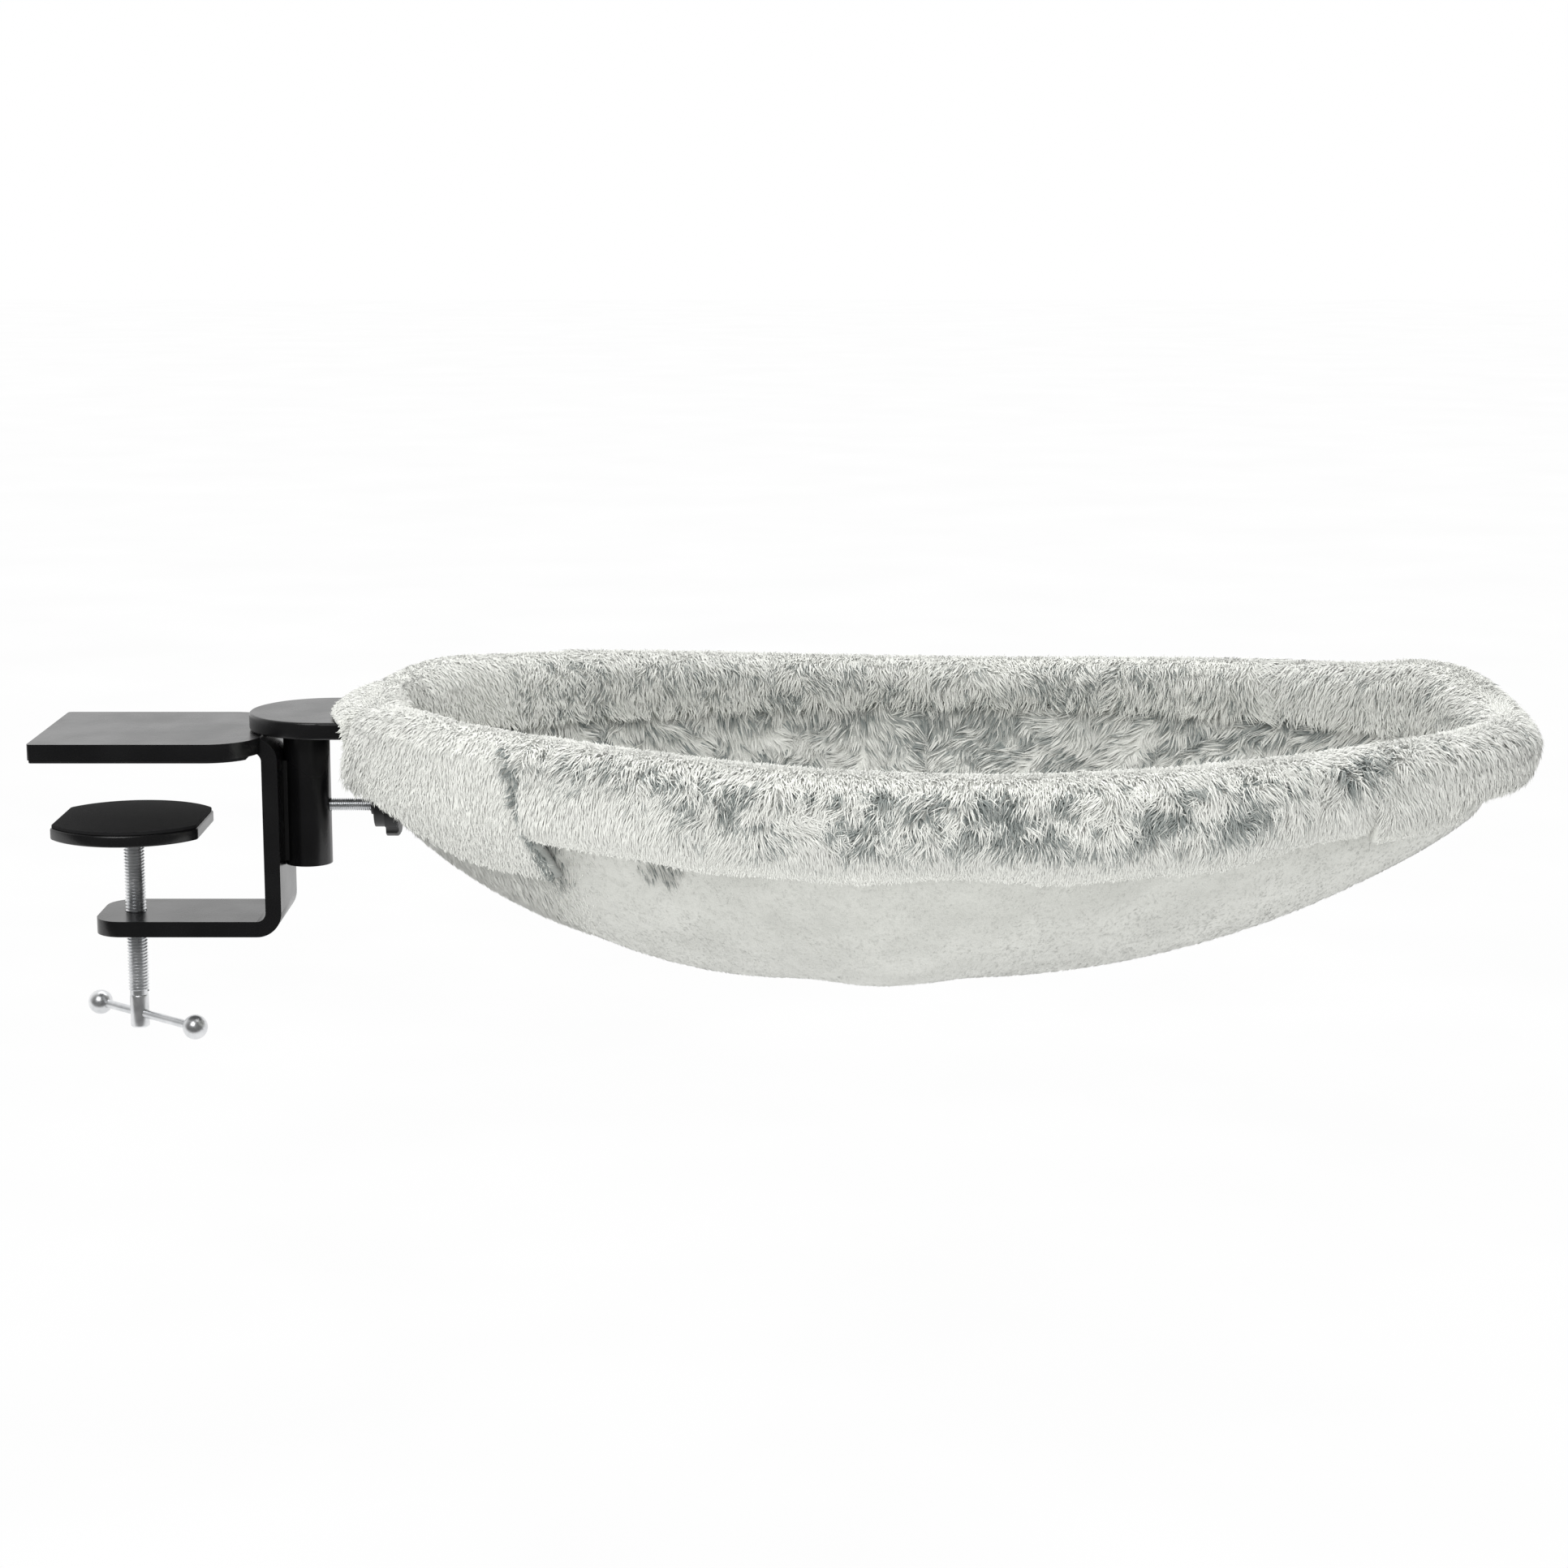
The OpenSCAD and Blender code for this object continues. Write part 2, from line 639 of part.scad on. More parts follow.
// Round bar bent to an oval of four arcs and closed on itself
module hoop() {
    stations = round_hoop(16);
    cols = len(stations);
    bar = [for (i = [0 : hoop_sides - 1]) -i * 360 / hoop_sides];
    points = [
        for (t = bar, a = stations)
            let (p = hoop_point(a) + outward(a) * hoop_r * cos(t))
            [p[0], p[1], hoop_z + hoop_r * sin(t)]
    ];
    last = (hoop_sides - 1) * cols;
    seam = [
        for (j = [0 : cols - 1]) let (k = (j + 1) % cols)
            each [[last + j, last + k, k], [last + j, k, j]]
    ];
    color(steel_black) polyhedron(points, concat(ring_faces(hoop_sides, cols, 0), seam));
}
// Beads along both sides of the hoop where the arm lies on it
module hoop_welds() {
    span = 2 * asin(swivel_w / 2 / hoop_end_r) * weld_span_share;
    side = sqrt(hoop_r * hoop_r - (hoop_r - weld_r) * (hoop_r - weld_r));
    color(steel_black) translate([hoop_x - end_c, 0, hoop_z]) rotate([0, 0, 180 - span / 2])
        rotate_extrude(angle = span) difference() {
            translate([hoop_end_r + side, hoop_r - seat_gap]) circle(weld_r, $fn = 32);
            translate([hoop_end_r, 0]) circle(hoop_r + seat_gap, $fn = 48);
            translate([hoop_end_r - hoop_d, hoop_r - seat_gap]) square([2 * hoop_d, hoop_d]);
        }
}

module pouch() {
    color(plush_short) pouch_layer(0, pouch_t, 0);
}
module pouch_lining() {
    from = pouch_t + 2 * soft_gap;
    color(plush_long) pouch_layer(from, from + lining_t, inner_hem_h + soft_gap - hoop_r);
}
module front_flap() {
    color(plush_long) flap(spread_between(180 + side_lo, 180 + side_hi, side_steps), side_hem_h);
}
module back_flap() {
    color(plush_long) flap(spread_between(side_lo, side_hi, side_steps), side_hem_h);
}
module arm_end_flap() {
    color(plush_long) flap(arm_stations, end_hem_h);
}
module far_end_flap() {
    color(plush_long) flap(spread_between(-end_lo, end_lo, end_steps), end_hem_h);
}

clamp_frame();
socket_tube();
tube_welds();
jaw_liner();
pressure_plate();
pad_liner();
clamp_screw();
handle_rod();
handle_ball_near();
handle_ball_far();
lock_tip();
lock_screw();
lock_knob();
swivel_arm();
swivel_post();
post_weld();
hoop();
hoop_welds();
pouch();
pouch_lining();
front_flap();
back_flap();
arm_end_flap();
far_end_flap();
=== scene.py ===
import itertools
import math
import bpy
import numpy as np
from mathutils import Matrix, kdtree

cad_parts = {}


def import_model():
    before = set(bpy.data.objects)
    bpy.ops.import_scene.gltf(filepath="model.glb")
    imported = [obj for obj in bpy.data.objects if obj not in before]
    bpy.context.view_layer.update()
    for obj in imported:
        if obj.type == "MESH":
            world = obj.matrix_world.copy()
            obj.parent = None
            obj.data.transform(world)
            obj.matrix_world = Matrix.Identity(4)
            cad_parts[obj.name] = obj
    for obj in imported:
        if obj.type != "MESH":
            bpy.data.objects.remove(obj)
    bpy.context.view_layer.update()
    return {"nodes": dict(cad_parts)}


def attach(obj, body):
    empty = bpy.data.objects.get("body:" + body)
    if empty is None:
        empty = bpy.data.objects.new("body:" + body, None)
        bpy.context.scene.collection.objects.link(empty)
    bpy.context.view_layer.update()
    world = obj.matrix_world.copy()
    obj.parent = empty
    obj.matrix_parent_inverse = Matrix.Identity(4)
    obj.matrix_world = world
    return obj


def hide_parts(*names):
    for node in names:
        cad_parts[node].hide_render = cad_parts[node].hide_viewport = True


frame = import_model()
NODES = frame["nodes"]
MM = 0.001

# Sizes of the hammock as in the solids, in millimetres and degrees
PIVOT_X = 67.2
ARM_Z, ARM_T, ARM_W = 7.6, 6.5, 60.0
ARM_CLEAR = 0.4
HOOP_LEN, HOOP_W = 427.0, 272.0
HOOP_R = 5.0
HOOP_FROM_PIVOT = 27.0
WELD_GAP = 0.05
END_R = 95.0
HOOP_X = PIVOT_X + HOOP_FROM_PIVOT + HOOP_LEN / 2
HOOP_Z = ARM_Z - HOOP_R - WELD_GAP
# The hoop is two end arcs of radius END_R and two flatter side arcs, which meet at TURN
END_C = HOOP_LEN / 2 - END_R
SIDE_R = (END_C ** 2 + (HOOP_W / 2) ** 2 - END_R ** 2) / (2 * (HOOP_W / 2 - END_R))
SIDE_C = SIDE_R - HOOP_W / 2
TURN = math.degrees(math.atan2(SIDE_C, END_C))
# The pouch hangs deepest a little nearer to the arm than the hoop's middle
LOW_SHIFT = 31.0
LOW_X = HOOP_X - LOW_SHIFT
POUCH_DEPTH, POUCH_DROP = 91.0, 12.0
FLAP_IN, FLAP_T = 5.6, 6.0
FLAP_OUT = FLAP_IN + FLAP_T
SIDE_HEM, END_HEM = 25.0, 18.0
SIDE_FROM = 60.0
# The plush stays clear of the lock knob when it is backed out
KNOB_END_X, KNOB_R = 102.7, 12.0
LOCK_TRAVEL, KNOB_GAP = 1.6, 3.5
KNOB_CLEAR = math.hypot(KNOB_END_X + LOCK_TRAVEL - PIVOT_X, KNOB_R) + KNOB_GAP
SLOT_TURN = math.degrees(math.asin((ARM_W / 2 + ARM_CLEAR) / (END_R - FLAP_IN)))


# Camera at the photograph's angle
SENSOR, LENS, FAR_CLIP = 36.0, 74.53, 50.0
CAMERA_AT = (0.2493, -1.2182, 0.2167)
CAMERA_TILT = 79.25
cam_data = bpy.data.cameras.new("camera")
cam_data.sensor_width = SENSOR
cam_data.lens = LENS
cam_data.clip_end = FAR_CLIP
cam = bpy.data.objects.new("camera", cam_data)
cam.location = CAMERA_AT
cam.rotation_euler = (math.radians(CAMERA_TILT), 0.0, 0.0)
bpy.context.scene.collection.objects.link(cam)
bpy.context.scene.camera = cam


# Materials
# The Mix node's sockets go by number, because several share a name
MIX_FACTOR = 0
FLOAT_A, FLOAT_B, FLOAT_OUT = 2, 3, 0
COLOUR_A, COLOUR_B, COLOUR_OUT = 6, 7, 2


def srgb(hex_code):
    out = []
    for i in (0, 2, 4):
        c = int(hex_code[i:i + 2], 16) / 255
        out.append(c / 12.92 if c <= 0.04045 else ((c + 0.055) / 1.055) ** 2.4)
    return (*out, 1.0)


def add_node(tree, kind, settings=None, inputs=None):
    """A node with its settings; inputs are values or the sockets that feed it."""
    n = tree.nodes.new(kind)
    for k, v in (settings or {}).items():
        setattr(n, k, v)
    for k, v in (inputs or {}).items():
        if isinstance(v, bpy.types.NodeSocket):
            tree.links.new(v, n.inputs[k])
        else:
            n.inputs[k].default_value = v
    return n


def new_material(name):
    mat = bpy.data.materials.new(name)
    mat.use_nodes = True
    tree = mat.node_tree
    tree.nodes.clear()
    return mat, tree, add_node(tree, "ShaderNodeTexCoord").outputs["Object"]


def per_metre(size):
    """A texture's scale from its real size in millimetres."""
    return 1 / (size * MM)


def two_tones(tree, pattern, low, high, span=(0.3, 0.7)):
    """A colour that runs from low to high while the pattern crosses the span, and how far it has run."""
    run = add_node(tree, "ShaderNodeMapRange", inputs={
        "Value": pattern, "From Min": span[0], "From Max": span[1]}).outputs["Result"]
    mix = add_node(tree, "ShaderNodeMix", {"data_type": "RGBA"}, {
        MIX_FACTOR: run, COLOUR_A: srgb(low), COLOUR_B: srgb(high)})
    return mix.outputs[COLOUR_OUT], run


# Black powder coat on bent steel, sprayed and baked: half gloss, faintly clouded, with a fine orange peel
def powder_coat():
    cloud_size, peel_size, peel_depth = 22.2, 1.11, 0.3
    mat, tree, coords = new_material("black_powder_coat")
    cloud = add_node(tree, "ShaderNodeTexNoise", inputs={
        "Vector": coords, "Scale": per_metre(cloud_size), "Detail": 3.0})
    peel = add_node(tree, "ShaderNodeTexNoise", inputs={
        "Vector": coords, "Scale": per_metre(peel_size), "Detail": 2.0})
    colour, run = two_tones(tree, cloud.outputs["Fac"], "09090a", "0f0f10")
    rough = add_node(tree, "ShaderNodeMapRange", inputs={"Value": run, "To Min": 0.22, "To Max": 0.3})
    relief = add_node(tree, "ShaderNodeBump", inputs={
        "Height": peel.outputs["Fac"], "Strength": 0.12, "Distance": peel_depth * MM})
    coat = add_node(tree, "ShaderNodeBsdfPrincipled", inputs={
        "Base Color": colour, "Roughness": rough.outputs["Result"], "Specular IOR Level": 0.55,
        "Normal": relief.outputs["Normal"]})
    add_node(tree, "ShaderNodeOutputMaterial", inputs={"Surface": coat.outputs["BSDF"]})
    return mat


# Bright zinc plate on turned steel: a slightly blurred mirror with a faint haze in patches
def zinc_plate():
    haze_size = 6.25
    mat, tree, coords = new_material("bright_zinc_plate")
    haze = add_node(tree, "ShaderNodeTexNoise", inputs={
        "Vector": coords, "Scale": per_metre(haze_size), "Detail": 4.0})
    colour, run = two_tones(tree, haze.outputs["Fac"], "cdcfd1", "eeeff0")
    rough = add_node(tree, "ShaderNodeMapRange", inputs={"Value": run, "To Min": 0.26, "To Max": 0.36})
    plate = add_node(tree, "ShaderNodeBsdfPrincipled", inputs={
        "Base Color": colour, "Metallic": 0.95, "Roughness": rough.outputs["Result"]})
    add_node(tree, "ShaderNodeOutputMaterial", inputs={"Surface": plate.outputs["BSDF"]})
    return mat


# Closed-cell EVA foam cut from sheet: dull black with fine pores, drawn coarser than the real 0.3 mm to show
def eva_foam():
    pore_size, pore_depth, cloud_size = 0.714, 0.3, 16.7
    mat, tree, coords = new_material("eva_foam")
    pores = add_node(tree, "ShaderNodeTexVoronoi", inputs={"Vector": coords, "Scale": per_metre(pore_size)})
    cloud = add_node(tree, "ShaderNodeTexNoise", inputs={
        "Vector": coords, "Scale": per_metre(cloud_size), "Detail": 3.0})
    colour, _ = two_tones(tree, cloud.outputs["Fac"], "131314", "19191a")
    relief = add_node(tree, "ShaderNodeBump", inputs={
        "Height": pores.outputs["Distance"], "Strength": 0.25, "Distance": pore_depth * MM})
    foam = add_node(tree, "ShaderNodeBsdfPrincipled", inputs={
        "Base Color": colour, "Roughness": 0.85, "Specular IOR Level": 0.25,
        "Normal": relief.outputs["Normal"]})
    add_node(tree, "ShaderNodeOutputMaterial", inputs={"Surface": foam.outputs["BSDF"]})
    return mat


# Plastic from a spark-eroded mould: satin black with a grain, drawn coarser than the real 0.2 mm to show
def black_plastic():
    grain_size, grain_depth, cloud_size = 0.667, 0.2, 12.5
    mat, tree, coords = new_material("moulded_black_plastic")
    grain = add_node(tree, "ShaderNodeTexNoise", inputs={
        "Vector": coords, "Scale": per_metre(grain_size), "Detail": 2.0})
    cloud = add_node(tree, "ShaderNodeTexNoise", inputs={
        "Vector": coords, "Scale": per_metre(cloud_size), "Detail": 3.0})
    colour, _ = two_tones(tree, cloud.outputs["Fac"], "141415", "1c1c1d")
    relief = add_node(tree, "ShaderNodeBump", inputs={
        "Height": grain.outputs["Fac"], "Strength": 0.2, "Distance": grain_depth * MM})
    plastic = add_node(tree, "ShaderNodeBsdfPrincipled", inputs={
        "Base Color": colour, "Roughness": 0.42, "Normal": relief.outputs["Normal"]})
    add_node(tree, "ShaderNodeOutputMaterial", inputs={"Surface": plastic.outputs["BSDF"]})
    return mat


# Natural nylon, turned: milky and half dull
def nylon():
    cloud_size = 5.0
    mat, tree, coords = new_material("natural_nylon")
    cloud = add_node(tree, "ShaderNodeTexNoise", inputs={
        "Vector": coords, "Scale": per_metre(cloud_size), "Detail": 3.0})
    colour, _ = two_tones(tree, cloud.outputs["Fac"], "ddd9cc", "ebe8df")
    tip = add_node(tree, "ShaderNodeBsdfPrincipled", inputs={"Base Color": colour, "Roughness": 0.5})
    add_node(tree, "ShaderNodeOutputMaterial", inputs={"Surface": tip.outputs["BSDF"]})
    return mat


# Tones of the plush: the light ones run into each other over a wider span than those of the dark roots,
# which also paint shade
PLUSH_SPAN = (0.28, 0.72)
CLOTH_ROOTS_AND_SHADE = ("5a6261", "8b918f")
PILE_ROOTS_AND_SHADE = ("5a6463", "818987")


def plush_colour(tree, coords, mottle_size, detail, tones, roots):
    """Mottled light tones, and mottled dark roots, which also stand for painted shade, where the attribute
    "shade" is 1.
    """
    shade = add_node(tree, "ShaderNodeAttribute", {"attribute_name": "shade"})
    mottle = add_node(tree, "ShaderNodeTexNoise", inputs={
        "Vector": coords, "Scale": per_metre(mottle_size), "Detail": detail, "Roughness": 0.6})
    light, _ = two_tones(tree, mottle.outputs["Fac"], *tones, PLUSH_SPAN)
    dark, _ = two_tones(tree, mottle.outputs["Fac"], *roots)
    mix = add_node(tree, "ShaderNodeMix", {"data_type": "RGBA"}, {
        MIX_FACTOR: shade.outputs["Fac"], COLOUR_A: light, COLOUR_B: dark})
    return mix.outputs[COLOUR_OUT]


# Knitted polyester ground of the plush: matt and mottled, and rough with the roots of the pile, which are
# drawn coarser than the real 0.5 mm to show
def plush_cloth(name, tones):
    mottle_size, root_size, root_depth = 26.3, 1.11, 1.2
    mat, tree, coords = new_material(name)
    roots = add_node(tree, "ShaderNodeTexNoise", inputs={
        "Vector": coords, "Scale": per_metre(root_size), "Detail": 3.0, "Roughness": 0.7})
    relief = add_node(tree, "ShaderNodeBump", inputs={
        "Height": roots.outputs["Fac"], "Strength": 0.5, "Distance": root_depth * MM})
    cloth = add_node(tree, "ShaderNodeBsdfPrincipled", inputs={
        "Base Color": plush_colour(tree, coords, mottle_size, 5.0, tones, CLOTH_ROOTS_AND_SHADE),
        "Roughness": 0.9, "Specular IOR Level": 0.15, "Sheen Weight": 0.25, "Sheen Roughness": 0.5,
        "Normal": relief.outputs["Normal"]})
    add_node(tree, "ShaderNodeOutputMaterial", inputs={"Surface": cloth.outputs["BSDF"]})
    return mat


# Brushed polyester pile: a soft sheen on strands that run from dark roots to off-white tips. The dark of the
# roots also paints shade in the crease, under the hem and inside the pouch.
def plush_pile(name, tones):
    mottle_size = 18.2
    mat, tree, coords = new_material(name)
    pile = add_node(tree, "ShaderNodeBsdfPrincipled", inputs={
        "Base Color": plush_colour(tree, coords, mottle_size, 4.0, tones, PILE_ROOTS_AND_SHADE),
        "Roughness": 0.75, "Specular IOR Level": 0.2, "Sheen Weight": 0.15, "Sheen Roughness": 0.5})
    add_node(tree, "ShaderNodeOutputMaterial", inputs={"Surface": pile.outputs["BSDF"]})
    return mat


MAT = {"powder": powder_coat(), "zinc": zinc_plate(), "foam": eva_foam(), "plastic": black_plastic(),
       "nylon": nylon(),
       "cloth": plush_cloth("long_plush_cloth", ("d8d9d3", "e2e3dd")),
       "pile": plush_pile("long_plush_pile", ("e3e4de", "edeee8")),
       "short_cloth": plush_cloth("short_plush_cloth", ("c0c1bb", "d4d5cf")),
       "short_pile": plush_pile("short_plush_pile", ("cbccc6", "dadbd5"))}


# The solids that stay get their finish, and the cut edges of steel, foam and plastic are slightly rounded
FINISH = {
    "clamp_frame": "powder", "socket_tube": "powder", "tube_welds": "powder", "jaw_liner": "foam",
    "pressure_plate": "powder", "pad_liner": "foam", "handle_rod": "zinc", "handle_ball_near": "zinc",
    "handle_ball_far": "zinc", "lock_tip": "nylon", "lock_knob": "plastic", "swivel_arm": "powder",
    "swivel_post": "zinc", "post_weld": "powder", "hoop": "powder", "hoop_welds": "powder"}
EDGE_ROUND = {
    "clamp_frame": 0.9, "swivel_arm": 0.9, "socket_tube": 0.5, "pressure_plate": 1.0, "lock_knob": 0.4,
    "jaw_liner": 0.3, "pad_liner": 0.3}
# Points closer than MERGE become one, faces within FLAT_WITHIN degrees are flat, and an edge is rounded
# where it turns by SHARP_FROM degrees or more
MERGE = 0.02
FLAT_WITHIN = 0.5
SHARP_FROM = 40.0
BEVEL_STEPS = 3


def paint(obj, mat):
    obj.data.materials.clear()
    obj.data.materials.append(mat)


def add_bevel(obj, width):
    bevel = obj.modifiers.new("edges", "BEVEL")
    bevel.width = width * MM
    bevel.segments = BEVEL_STEPS
    bevel.limit_method = "ANGLE"
    bevel.angle_limit = math.radians(SHARP_FROM)


for name, key in FINISH.items():
    paint(NODES[name], MAT[key])
for name, width in EDGE_ROUND.items():
    weld = NODES[name].modifiers.new("weld", "WELD")
    weld.merge_threshold = MERGE * MM
    flat = NODES[name].modifiers.new("flat_faces", "DECIMATE")
    flat.decimate_type = "DISSOLVE"
    flat.angle_limit = math.radians(FLAT_WITHIN)
    add_bevel(NODES[name], width)


# Threaded screws: a plain core and one winding ridge
RIDGE_HALF_SHARE = 0.44
RIDGE_STEPS = 20
SMOOTH_BELOW = 35.0


def deselect():
    bpy.ops.object.select_all(action="DESELECT")


def cylinder_along_z(r, z0, z1, sides=40):
    bpy.ops.mesh.primitive_cylinder_add(
        vertices=sides, radius=r * MM, depth=(z1 - z0) * MM, location=(0, 0, (z0 + z1) / 2 * MM))
    obj = bpy.context.object
    bpy.ops.object.transform_apply(location=True, rotation=True, scale=True)
    return obj


def ridge_along_z(root_r, tip_r, pitch, z0, z1):
    """A three-cornered ridge wound once round for each pitch, with closed ends."""
    bpy.ops.mesh.primitive_circle_add(vertices=3, radius=MM, fill_type="NOTHING")
    obj = bpy.context.object
    half = pitch * RIDGE_HALF_SHARE
    for v, (x, z) in zip(obj.data.vertices, ((root_r, -half), (tip_r, 0.0), (root_r, half))):
        v.co = (x * MM, 0.0, (z0 + pitch + z) * MM)
    screw = obj.modifiers.new("screw", "SCREW")
    screw.axis = "Z"
    screw.screw_offset = pitch * MM
    screw.iterations = int((z1 - z0) / pitch) - 1
    screw.steps = RIDGE_STEPS
    screw.render_steps = RIDGE_STEPS
    screw.use_smooth_shade = True
    bpy.ops.object.modifier_apply(modifier="screw")
    bpy.ops.object.mode_set(mode="EDIT")
    bpy.ops.mesh.select_all(action="SELECT")
    bpy.ops.mesh.fill_holes(sides=3)
    bpy.ops.mesh.select_all(action="SELECT")
    bpy.ops.mesh.normals_make_consistent(inside=False)
    bpy.ops.object.mode_set(mode="OBJECT")
    return obj


def join(objs, name):
    deselect()
    for o in objs:
        o.select_set(True)
    bpy.context.view_layer.objects.active = objs[0]
    bpy.ops.object.join()
    obj = bpy.context.object
    obj.name = name
    obj.data.name = name
    return obj


def apply_modifier(obj, name):
    bpy.context.view_layer.objects.active = obj
    bpy.ops.object.modifier_apply(modifier=name)


def finish_screw(obj, body, node):
    bpy.ops.object.shade_smooth_by_angle(angle=math.radians(SMOOTH_BELOW))
    paint(obj, MAT["zinc"])
    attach(obj, body)
    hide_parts(node)


# The M8 clamp screw, from its plain end up to the neck and the rivet head in the pad
PAD_Z = -32.7
SCREW_R, SCREW_PITCH = 4.0, 1.25
CORE_R, RIDGE_ROOT_R = 3.42, 3.3
THREAD_Z0, THREAD_Z1 = -97.0, PAD_Z - 0.15
NECK_R, NECK_Z0, NECK_Z1 = 2.4, PAD_Z - 0.3, PAD_Z + 2.9
RIVET_R, RIVET_Z0, RIVET_Z1 = 3.9, PAD_Z + 3.0, PAD_Z + 4.35
SHANK_R, SHANK_Z0, SHANK_Z1 = 3.6, -110.0, -96.9
SHANK_SIDES, SHANK_ROUND = 48, 0.8
HOLE_R, HOLE_Z, HOLE_TURN = 1.7, -104.5, -41.0
HOLE_SIDES, HOLE_LEN = 32, 20.0

deselect()
core = [cylinder_along_z(CORE_R, THREAD_Z0, THREAD_Z1), cylinder_along_z(NECK_R, NECK_Z0, NECK_Z1),
        cylinder_along_z(RIVET_R, RIVET_Z0, RIVET_Z1)]
shank = cylinder_along_z(SHANK_R, SHANK_Z0, SHANK_Z1, SHANK_SIDES)
add_bevel(shank, SHANK_ROUND)
apply_modifier(shank, "edges")
# The cross hole for the sliding rod
deselect()
bpy.ops.mesh.primitive_cylinder_add(
    vertices=HOLE_SIDES, radius=HOLE_R * MM, depth=HOLE_LEN * MM, location=(0, 0, HOLE_Z * MM),
    rotation=(0.0, math.radians(90), math.radians(HOLE_TURN)))
drill = bpy.context.object
cut = shank.modifiers.new("hole", "BOOLEAN")
cut.operation = "DIFFERENCE"
cut.object = drill
apply_modifier(shank, "hole")
bpy.data.objects.remove(drill)
deselect()
ridge = ridge_along_z(RIDGE_ROOT_R, SCREW_R, SCREW_PITCH, THREAD_Z0, THREAD_Z1)
finish_screw(join([*core, shank, ridge], "clamp_screw_threaded"), "screw", "clamp_screw")

# The M5 lock screw is made upright and turned to lie along X
LOCK_X0, LOCK_X1, LOCK_Z = 73.5, 100.5, -22.5
LOCK_R, LOCK_PITCH = 2.5, 0.8
LOCK_CORE_R, LOCK_ROOT_R = 2.1, 2.05
LOCK_SIDES = 32

deselect()
lock_screw = join([cylinder_along_z(LOCK_CORE_R, LOCK_X0, LOCK_X1, LOCK_SIDES),
                   ridge_along_z(LOCK_ROOT_R, LOCK_R, LOCK_PITCH, LOCK_X0, LOCK_X1)], "lock_screw_threaded")
lock_screw.rotation_euler = (0.0, math.radians(90), 0.0)
lock_screw.location = (0.0, 0.0, LOCK_Z * MM)
bpy.ops.object.transform_apply(location=True, rotation=True, scale=True)
finish_screw(lock_screw, "lock", "lock_screw")
deselect()


# Curves and noise on arrays of points, in millimetres
TINY = 1e-9
HASH_AXES = (374761393, 668265263, 2147483647)
HASH_SEED, HASH_MIX = 974634777, 1274126177
HASH_SHIFT, HASH_LAST_SHIFT = 13, 16
HASH_TOP = 0xFFFF


def unit(vectors):
    return vectors / (np.linalg.norm(vectors, axis=1)[:, None] + TINY)


def soft_noise(p, size, seed):
    """Smooth lattice noise from -1 to 1, with cells of the given size."""
    q = np.asarray(p, float) / size
    base = np.floor(q).astype(np.int64)
    f = q - base
    f = f * f * (3 - 2 * f)
    total = np.zeros(len(q))
    for corner in itertools.product((0, 1), repeat=3):
        h = seed * HASH_SEED
        weight = 1.0
        for axis, step in enumerate(corner):
            h = h + (base[:, axis] + step) * HASH_AXES[axis]
            weight = weight * (f[:, axis] if step else 1 - f[:, axis])
        h = (h ^ (h >> HASH_SHIFT)) * HASH_MIX
        h = (h ^ (h >> HASH_LAST_SHIFT)) & HASH_TOP
        total += weight * (h / (HASH_TOP / 2) - 1)
    return total


def smooth(x):
    t = np.clip(x, 0, 1)
    return t * t * (3 - 2 * t)


def past(x, start, run):
    """0 up to start and 1 a run later, smooth between."""
    return smooth((x - start) / run)


def before(x, end, run):
    """1 up to a run before the end and 0 from the end on, smooth between."""
    return smooth((end - x) / run)


def bell(x, width):
    return np.exp(-(x / width) ** 2)


def sin_deg(a):
    return np.sin(np.radians(a))


def cos_deg(a):
    return np.cos(np.radians(a))


def spline(points, per):
    """Catmull-Rom curve through points (n, m, 2) along their second axis."""
    n = points.shape[1]
    first = 2 * points[:, :1] - points[:, 1:2]
    last = 2 * points[:, -1:] - points[:, -2:-1]
    p = np.concatenate([first, points, last], 1)
    out = []
    for i in range(n - 1):
        a, b, c, d = p[:, i], p[:, i + 1], p[:, i + 2], p[:, i + 3]
        for k in range(per):
            t = k / per
            out.append(0.5 * ((2 * b) + (c - a) * t + (2 * a - 5 * b + 4 * c - d) * t * t
                              + (3 * b - a - 3 * c + d) * t ** 3))
    out.append(points[:, -1])
    return np.stack(out, 1)


# The hoop's centre line and outward normal, by the direction a of that normal in degrees; the arm is at 180
def hoop_point(a):
    c, s = cos_deg(a), sin_deg(a)
    end = np.abs(c) > math.cos(math.radians(TURN))
    x = np.where(end, HOOP_X + np.sign(c) * END_C + END_R * c, HOOP_X + SIDE_R * c)
    y = np.where(end, END_R * s, SIDE_R * s - np.sign(s) * SIDE_C)
    return np.stack([x, y], -1), np.stack([c, s], -1)


def from_arm(a):
    return np.abs(np.mod(a, 360) - 180)


def arm_near(a):
    return before(from_arm(a), SIDE_FROM, SIDE_FROM)


# The rim's height over the hoop: low waves, highest at the back, a fold at the far end and a lift at the arm
RIM_WAVE, RIM_WAVES = 6.0, 4
WAVE_SHARE, WAVE_BACK_SHARE = 0.8, 0.2
FOLD_RISE, FOLD_AT, FOLD_SPREAD = 7.0, 26.0, 36.0
ARM_RISE, ARM_RISE_END, ARM_RISE_RUN = 6.5, 100.0, 70.0


def rise(a):
    share = WAVE_SHARE + WAVE_BACK_SHARE * sin_deg(a)
    wave = (1 - cos_deg(RIM_WAVES * a)) / 2
    fold = smooth(1 - np.abs(np.mod(a + 180, 360) - 180 - FOLD_AT) / FOLD_SPREAD)
    arm = before(from_arm(a), ARM_RISE_END, ARM_RISE_RUN)
    return RIM_WAVE * share * wave + FOLD_RISE * fold + ARM_RISE * arm


